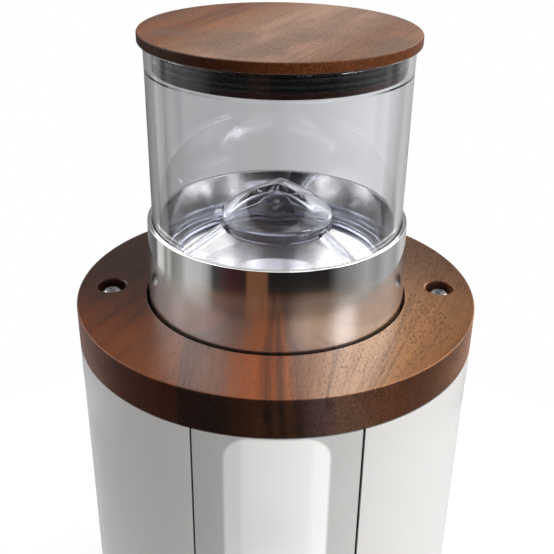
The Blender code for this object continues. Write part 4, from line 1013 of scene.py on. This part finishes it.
FORK_Z, FORK_R = 128.0, 3.0
b_back = -FACE - 0.3
b_front = b_back - 4.0
bracket = outline_prism("fork_bracket_zinc", round_rect(54.0, 43.0, 5.0, 8, 0.0, 119.5), 0.0, 4.0, M_BRACKET,
                        rot=Matrix.Translation((0, b_back, 0)) @ Matrix(((1, 0, 0, 0), (0, 0, -1, 0), (0, 1, 0, 0), (0, 0, 0, 1))))
bevel(bracket, 0.8, 3, 60)
bake_mods(bracket)
stem_hole = rod_between("hole_tmp", (0, -110, 112), (0, -70, 112), 3.1, steps=32)
cut(bracket, stem_hole)
bake_mods(bracket, stem_hole)
for sx in (-1, 1):
    for zz in (103.5, 135.5):
        cs = rod_between("csk_tmp", (sx * 21.5, b_front - 1, zz), (sx * 21.5, b_front + 0.9, zz), 3.0, steps=32)
        cut(bracket, cs)
        bake_mods(bracket, cs)
        sl = rod_between("csk_tmp", (sx * 21.5, b_front, zz), (sx * 21.5, b_front + 1.9, zz), 1.5, steps=6)
        cut(bracket, sl)
        bake_mods(bracket, sl)
clean(bracket)
smooth(bracket, 32)
piece(bracket, "housing", "fork_bracket", slot="zinc")
cross_y = b_front - 0.3 - FORK_R
half = [(0, cross_y, FORK_Z), (11, cross_y, FORK_Z), (16.0, cross_y - 2.0, FORK_Z), (18.0, cross_y - 8.0, FORK_Z),
        (18.0, -118, FORK_Z), (18.0, -134, FORK_Z), (18.3, -141, FORK_Z + 1.6), (18.6, -145, FORK_Z + 6.5)]
full = [(-px, py, pz) for px, py, pz in reversed(half[1:])] + half
fork = tube_along("portafilter_fork_steel", smooth_line(full, 6), FORK_R, M_FORK, 28, round_ends=False)
bevel(fork, 0.6, 3, 60)
bake_mods(fork)
smooth(fork, 40, weighted=False)
piece(fork, "housing", "portafilter_fork", slot="polished_steel")

PAD_Z = 112.0
pad_y = b_front - 10.0
pad = outline_prism("switch_paddle_black", round_rect(16.0, 20.0, 3.0, 6, 0.0, PAD_Z), 0.0, 3.0, M_BLACK,
                    rot=Matrix.Translation((0, pad_y, 0)) @ Matrix(((1, 0, 0, 0), (0, 0, -1, 0), (0, 1, 0, 0), (0, 0, 0, 1))))
bevel(pad, 0.7, 3, 60)
bake_mods(pad)
for k in range(5):
    zz = PAD_Z - 6.0 + 3.0 * k
    rib = rod_between("rib_tmp", (-5.5, pad_y - 3.25, zz), (5.5, pad_y - 3.25, zz), 0.7, steps=16)
    cut(pad, rib)
    bake_mods(pad, rib)
stem = rod_between("stem_tmp", (0, pad_y - 1.0, PAD_Z), (0, -76.0, PAD_Z), 2.5, steps=32)
cut(pad, stem, "UNION")
bake_mods(pad, stem)
clean(pad)
smooth(pad, 32)
piece(pad, "switch_paddle", "switch_paddle", slot="black_plastic")
turns, per = 3.0, 28
coil = [(4.3 * math.cos(2 * math.pi * i / per), pad_y + 0.9 + (b_front - pad_y - 1.8) * i / (turns * per),
         PAD_Z + 4.3 * math.sin(2 * math.pi * i / per)) for i in range(int(turns * per) + 1)]
pspring = tube_along("paddle_spring_steel", coil, 0.45, M_SPRING, 12)
smooth(pspring, 60, weighted=False)
piece(pspring, "housing", "paddle_spring", slot="spring_steel")
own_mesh(pspring)

# ------------------------------------------------------ rocker and mains inlet
RK = (56.0, -104.0, 18.5)
rot_x = Matrix(((0, 0, 1, 0), (1, 0, 0, 0), (0, 1, 0, 0), (0, 0, 0, 1)))     # (u, v, w) -> (w, u, v)
bezel = outline_prism("switch_frame_black", round_rect(22.0, 16.0, 1.2, 4, RK[1], RK[2]), RK[0] + 0.2, RK[0] + 1.8, M_GLOSSBLACK, rot=rot_x)
bevel(bezel, 0.4, 3, 60)
bake_mods(bezel)
neck = outline_prism("neck_tmp", round_rect(18.4, 12.4, 0.6, 2, RK[1], RK[2]), RK[0] - 8.0, RK[0] + 0.6, None, rot=rot_x)
cut(bezel, neck, "UNION")
bake_mods(bezel, neck)
pocket = outline_prism("pocket_tmp", round_rect(15.2, 9.4, 0.6, 3, RK[1], RK[2]), RK[0] - 6.4, RK[0] + 6.0, None, rot=rot_x)
cut(bezel, pocket)
bake_mods(bezel, pocket)
clean(bezel)
smooth(bezel, 32)
piece(bezel, "housing", "power_switch_frame", slot="black_plastic")
rk_side = rounded([(-6.6, 1.5, 0.4), (-6.6, 5.0, 0.6), (0.0, 3.4, 6.0), (6.6, 5.0, 0.6), (6.6, 1.5, 0.4), (3.2, -1.6, 0.5), (-3.2, -1.6, 0.5)], 5)
tilt = Matrix.Translation((RK[0] - 1.0, RK[1], RK[2])) @ Matrix.Rotation(math.radians(-90 - 8.0), 4, "Z")
rocker = outline_prism("power_rocker_black", [(py, px) for px, py in [(v[0], v[1]) for v in rk_side]], -4.3, 4.3, M_GLOSSBLACK,
                       rot=tilt @ Matrix(((1, 0, 0, 0), (0, 1, 0, 0), (0, 0, 1, 0), (0, 0, 0, 1))))
bevel(rocker, 0.35, 3, 50)
bake_mods(rocker)
smooth(rocker, 35)
piece(rocker, "power_rocker", "power_rocker", slot="black_plastic")

XY = Matrix(((1, 0, 0, 0), (0, 0, 1, 0), (0, 1, 0, 0), (0, 0, 0, 1)))         # (u, v, w) -> (u, w, v)
inlet = outline_prism("mains_inlet_black", round_rect(49.0, 28.0, 4.0, 8, 0.0, INLET_Z), 85.4, 88.0, M_BLACK, rot=XY)
bevel(inlet, 0.7, 3, 60)
bake_mods(inlet)
body_o = outline_prism("inlet_body_tmp", round_rect(28.0, 22.0, 1.6, 4, 0.0, INLET_Z), 62.0, 86.0, None, rot=XY)
cut(inlet, body_o, "UNION")
bake_mods(inlet, body_o)
cav_pts = rounded([(12.2, 8.4, 0.6), (12.2, -4.4, 0.8), (8.2, -8.4, 0.8), (-8.2, -8.4, 0.8), (-12.2, -4.4, 0.8), (-12.2, 8.4, 0.6)], 3)
cav = outline_prism("inlet_cavity_tmp", [(px, pz + INLET_Z) for px, pz in cav_pts], 68.0, 92.0, None, rot=XY)
cut(inlet, cav)
bake_mods(inlet, cav)
for sx in (-1, 1):
    hole = rod_between("hole_tmp", (sx * 20.0, 84.0, INLET_Z), (sx * 20.0, 90.0, INLET_Z), 1.7, steps=32)
    cut(inlet, hole)
    bake_mods(inlet, hole)
clean(inlet)
smooth(inlet, 32)
piece(inlet, "housing", "iec_inlet", slot="black_plastic")
for k, (px, pz) in enumerate(((-7.0, -2.0), (7.0, -2.0), (0.0, 2.0))):
    pin = outline_prism("inlet_pin_%d" % (k + 1), round_rect(2.0, 4.0, 0.5, 3, px, INLET_Z + pz), 67.6, 85.0, M_PIN, rot=XY)
    bevel(pin, 0.4, 3, 60)
    bake_mods(pin)
    smooth(pin, 35)
    piece(pin, "housing", slot="zinc")

# ===================================================================== stage
floor_bm = bmesh.new()
ring_v = [floor_bm.verts.new((420.0 * math.cos(2 * math.pi * k / 96), 420.0 * math.sin(2 * math.pi * k / 96), 0.0)) for k in range(96)]
floor_bm.faces.new(ring_v)
mf = Mat("pale_floor")
fl = mf.noise(mf.scaled(0.01, 0.01, 0.01), 1.0, 2.0)
mf.set(Base_Color=mf.ramp(fl, [(0.3, (0.86, 0.86, 0.86)), (0.7, (0.89, 0.89, 0.89))]), Roughness=mf.remap(fl, 0.3, 0.7, 0.55, 0.65))
mf.set(Emission_Color=(1.0, 1.0, 1.0), Emission_Strength=0.25)
floor = make("floor", floor_bm, mf.m, AXIS, recalc=False)
floor.visible_glossy = False
# a grey card on the floor is what glossy pieces see instead of the lit floor
card_bm = bmesh.new()
card_bm.faces.new([card_bm.verts.new((400.0 * math.cos(2 * math.pi * k / 96), 400.0 * math.sin(2 * math.pi * k / 96), 0.05)) for k in range(96)])
mg = Mat("grey_card")
mg.set(Base_Color=mg.ramp(mg.noise(mg.scaled(0.01, 0.01, 0.01), 1.0, 2.0), [(0.3, (0.52, 0.52, 0.52)), (0.7, (0.56, 0.56, 0.56))]), Roughness=0.9)
card = make("grey_card", card_bm, mg.m, AXIS, recalc=False)
card.visible_camera = card.visible_diffuse = card.visible_shadow = card.visible_transmission = False

# ==================================================================== camera
e, roll = math.radians(27.326), math.radians(0.918)
fwd = Vector((0, math.cos(e), -math.sin(e)))
up = Vector((0, math.sin(e), math.cos(e)))
rt = Vector((1, 0, 0))
r2 = rt * math.cos(roll) + up * math.sin(roll)
u2 = -rt * math.sin(roll) + up * math.cos(roll)
rot = Matrix((r2, u2, -fwd)).transposed().to_4x4()
at = Vector((0.36, -337.6, 178.99)) * MM
cam_m = Matrix.Translation(AXIS + Vector((0, 0, RING_TOP * MM))) @ Matrix.Rotation(math.radians(-1.0), 4, "Z") @ \
    Matrix.Translation(at) @ rot
cam = bpy.data.cameras.new("camera")
cam.lens = 57.0
cam.sensor_width = 36.0
cam.clip_start = 0.01
cam.clip_end = 50.0
cam_ob = bpy.data.objects.new("camera", cam)
scene.collection.objects.link(cam_ob)
cam_ob.matrix_world = cam_m
scene.camera = cam_ob

# ==================================================================== lights
scene.view_settings.view_transform = "Standard"
scene.view_settings.look = "None"
scene.view_settings.exposure = 0.0
scene.view_settings.gamma = 1.0

world = bpy.data.worlds.new("studio")
scene.world = world
world.use_nodes = True
wt = world.node_tree
wt.nodes.clear()


class World(Mat):
    def __init__(self, tree):
        self.t = tree
        self._co = None


w = World(wt)
w_out = wt.nodes.new("ShaderNodeOutputWorld")
w_bg = wt.nodes.new("ShaderNodeBackground")
wt.links.new(w_bg.outputs[0], w_out.inputs[0])
direction = w.node("ShaderNodeTexCoord").outputs["Generated"]
dx, dy, dz = w.xyz(direction)
az = w.math("MULTIPLY", w.math("ARCTAN2", dx, w.math("MULTIPLY", dy, -1.0)), 180.0 / math.pi)   # 0 front, + right
el = w.math("MULTIPLY", w.math("ARCSINE", dz), 180.0 / math.pi)
# round the horizon, from left behind (-180) over the front (0) to right behind (180)
pos = w.math("ADD", w.math("DIVIDE", az, 360.0), 0.5)


def stops(*pairs):
    return [((a + 180.0) / 360.0, c) for a, c in pairs]


g = lambda v, t=(1, 1, 1): (v * t[0], v * t[1], v * t[2])
lp = w.node("ShaderNodeLightPath")
# what polished pieces reflect: a room with a bright side, a dark front and a table
low = w.ramp(pos, stops(
    (-180, g(0.30)), (-150, g(0.20)), (-131, g(0.14)), (-127, g(0.78)), (-118, g(0.72)), (-114, (0.26, 0.27, 0.25)), (-108, g(0.55)), (-103, (0.24, 0.25, 0.22)), (-92, g(0.36)), (-84, g(0.64)), (-70, g(0.58)), (-62, g(0.40)),
    (-56, g(0.06)), (-40, (0.05, 0.016, 0.020)), (-27, (0.030, 0.018, 0.016)), (-25, (0.20, 0.085, 0.045)), (-9, (0.19, 0.08, 0.042)), (-7, g(0.014)), (44, g(0.020)), (48, g(0.07)),
    (56, g(0.20)), (66, g(0.28)), (84, g(0.46)), (96, g(0.34)), (110, g(0.52)), (126, g(0.40)), (140, g(0.68)), (160, g(0.50)), (180, g(0.30))))
high = w.ramp(pos, stops(
    (-180, g(0.30)), (-150, g(0.32)), (-128, g(3.4)), (-62, g(4.2)), (-38, g(1.2)), (-15, g(0.35)), (15, g(0.35)), (34, g(1.2)), (58, g(3.6)), (120, g(4.0)), (150, g(0.45)), (180, g(0.30))))
table = w.ramp(pos, stops((-180, g(0.30)), (-127, g(0.45)), (-104, g(0.36)), (-84, (0.56, 0.48, 0.42)), (-62, (0.44, 0.29, 0.22)), (-48, (0.27, 0.145, 0.10)), (-24, (0.22, 0.11, 0.07)), (-15, (0.30, 0.13, 0.07)),
                          (-12.5, (0.11, 0.05, 0.035)), (-10, (0.30, 0.13, 0.065)), (-4.5, (0.28, 0.12, 0.06)), (-2.5, (0.09, 0.04, 0.03)), (0, (0.28, 0.12, 0.06)),
                          (7, (0.14, 0.07, 0.05)), (14, (0.26, 0.15, 0.11)), (24, (0.44, 0.29, 0.21)), (40, (0.46, 0.31, 0.22)),
                          (60, (0.42, 0.30, 0.23)), (84, (0.52, 0.46, 0.42)), (120, g(0.55)), (150, g(0.5)), (180, g(0.30))))
near = w.ramp(pos, stops((-180, g(0.35)), (-127, g(0.80)), (-62, g(0.70)), (-34, g(0.33)), (34, g(0.40)), (62, g(0.60)), (90, g(0.64)), (127, g(0.50)), (180, g(0.35))))
shine = w.mix(w.remap(el, -27.4, -25.2, 0.0, 1.0), table, low)
shine = w.mix(w.remap(el, -35.0, -31.0, 0.0, 1.0), near, shine)
shine = w.mix(w.remap(el, -2.0, 22.0), shine, high)
shine = w.mix(w.remap(el, 38.0, 66.0), shine, (0.95, 0.95, 0.95))
# soft ambient light
soft = w.ramp(pos, stops((-180, g(0.36)), (-100, g(0.18)), (-30, g(0.17)), (20, g(0.24)), (60, g(0.27)), (100, g(0.20)), (180, g(0.34))))
soft = w.mix(w.remap(el, 30.0, 70.0), soft, (0.5, 0.5, 0.5))
soft = w.mix(w.remap(el, -12.0, 4.0), (0.06, 0.05, 0.045), soft)
env = w.mix(lp.outputs["Is Diffuse Ray"], shine, soft)
# what shows through the clear hopper: a grey backdrop, lighter on the right
back = w.ramp(pos, stops((-180, g(0.54)), (-176, g(0.52)), (-171, g(0.40)), (-160, g(0.30)), (-140, g(0.38)), (-122, g(0.40)), (-118, g(0.08)), (-112, g(0.10)), (-108, g(0.85)), (-98, g(0.55)), (-64, g(0.12)), (0, g(0.05)), (64, g(0.12)), (98, g(0.55)), (106, g(0.9)), (110, g(0.10)), (116, g(0.12)), (121, g(0.62)), (140, g(0.60)), (158, g(0.45)), (166, g(0.86)), (172, g(0.80)), (180, g(0.54))))
# and what the bright pieces inside it see of the room
inside = w.ramp(pos, stops(
    (-180, g(0.75)), (-160, g(0.9)), (-140, g(3.6)), (-122, g(1.7)), (-100, g(3.4)), (-75, g(1.2)), (-50, g(3.0)), (-22, g(0.8)), (0, g(1.0)), (24, g(1.2)), (45, g(3.0)),
    (72, g(0.9)), (96, g(2.9)), (118, g(1.4)), (140, g(2.7)), (160, g(0.9)), (180, g(0.75))))
through = w.mix(w.remap(el, -6.0, 20.0), back, inside)
env = w.mix(lp.outputs["Is Transmission Ray"], env, through)
env = w.mix(lp.outputs["Is Camera Ray"], env, (1.0, 1.0, 1.0))
wt.links.new(env, w_bg.inputs[0])
w_bg.inputs[1].default_value = 1.0


def area(name, az_deg, el_deg, dist, sx, sy, watts, aim=(0, 0, 0.30), colour=(1, 1, 1)):
    lamp = bpy.data.lights.new(name, "AREA")
    lamp.shape = "RECTANGLE"
    lamp.size, lamp.size_y = sx, sy
    lamp.energy = watts
    lamp.color = colour
    ob = bpy.data.objects.new(name, lamp)
    scene.collection.objects.link(ob)
    a, b = math.radians(az_deg), math.radians(el_deg)
    d = Vector((math.sin(a) * math.cos(b), -math.cos(a) * math.cos(b), math.sin(b)))
    target = AXIS + Vector(aim)
    ob.location = target + d * dist
    ob.rotation_mode = "QUATERNION"
    ob.rotation_quaternion = d.to_track_quat("Z", "Y")
    ob.visible_camera = False
    return ob


area("key_right", 58.5, 13.0, 0.9, 0.30, 0.42, 4.0)
area("key_right_soft", 58.5, 13.0, 0.9, 0.30, 0.42, 3.9).visible_glossy = False
area("front_soft", 20.0, 26.0, 1.1, 0.34, 0.50, 1.5)
area("top_soft", 20.0, 72.0, 1.0, 0.8, 0.8, 3.0)
area("fill_left", -92.0, 9.0, 1.1, 0.30, 0.6, 1.7)
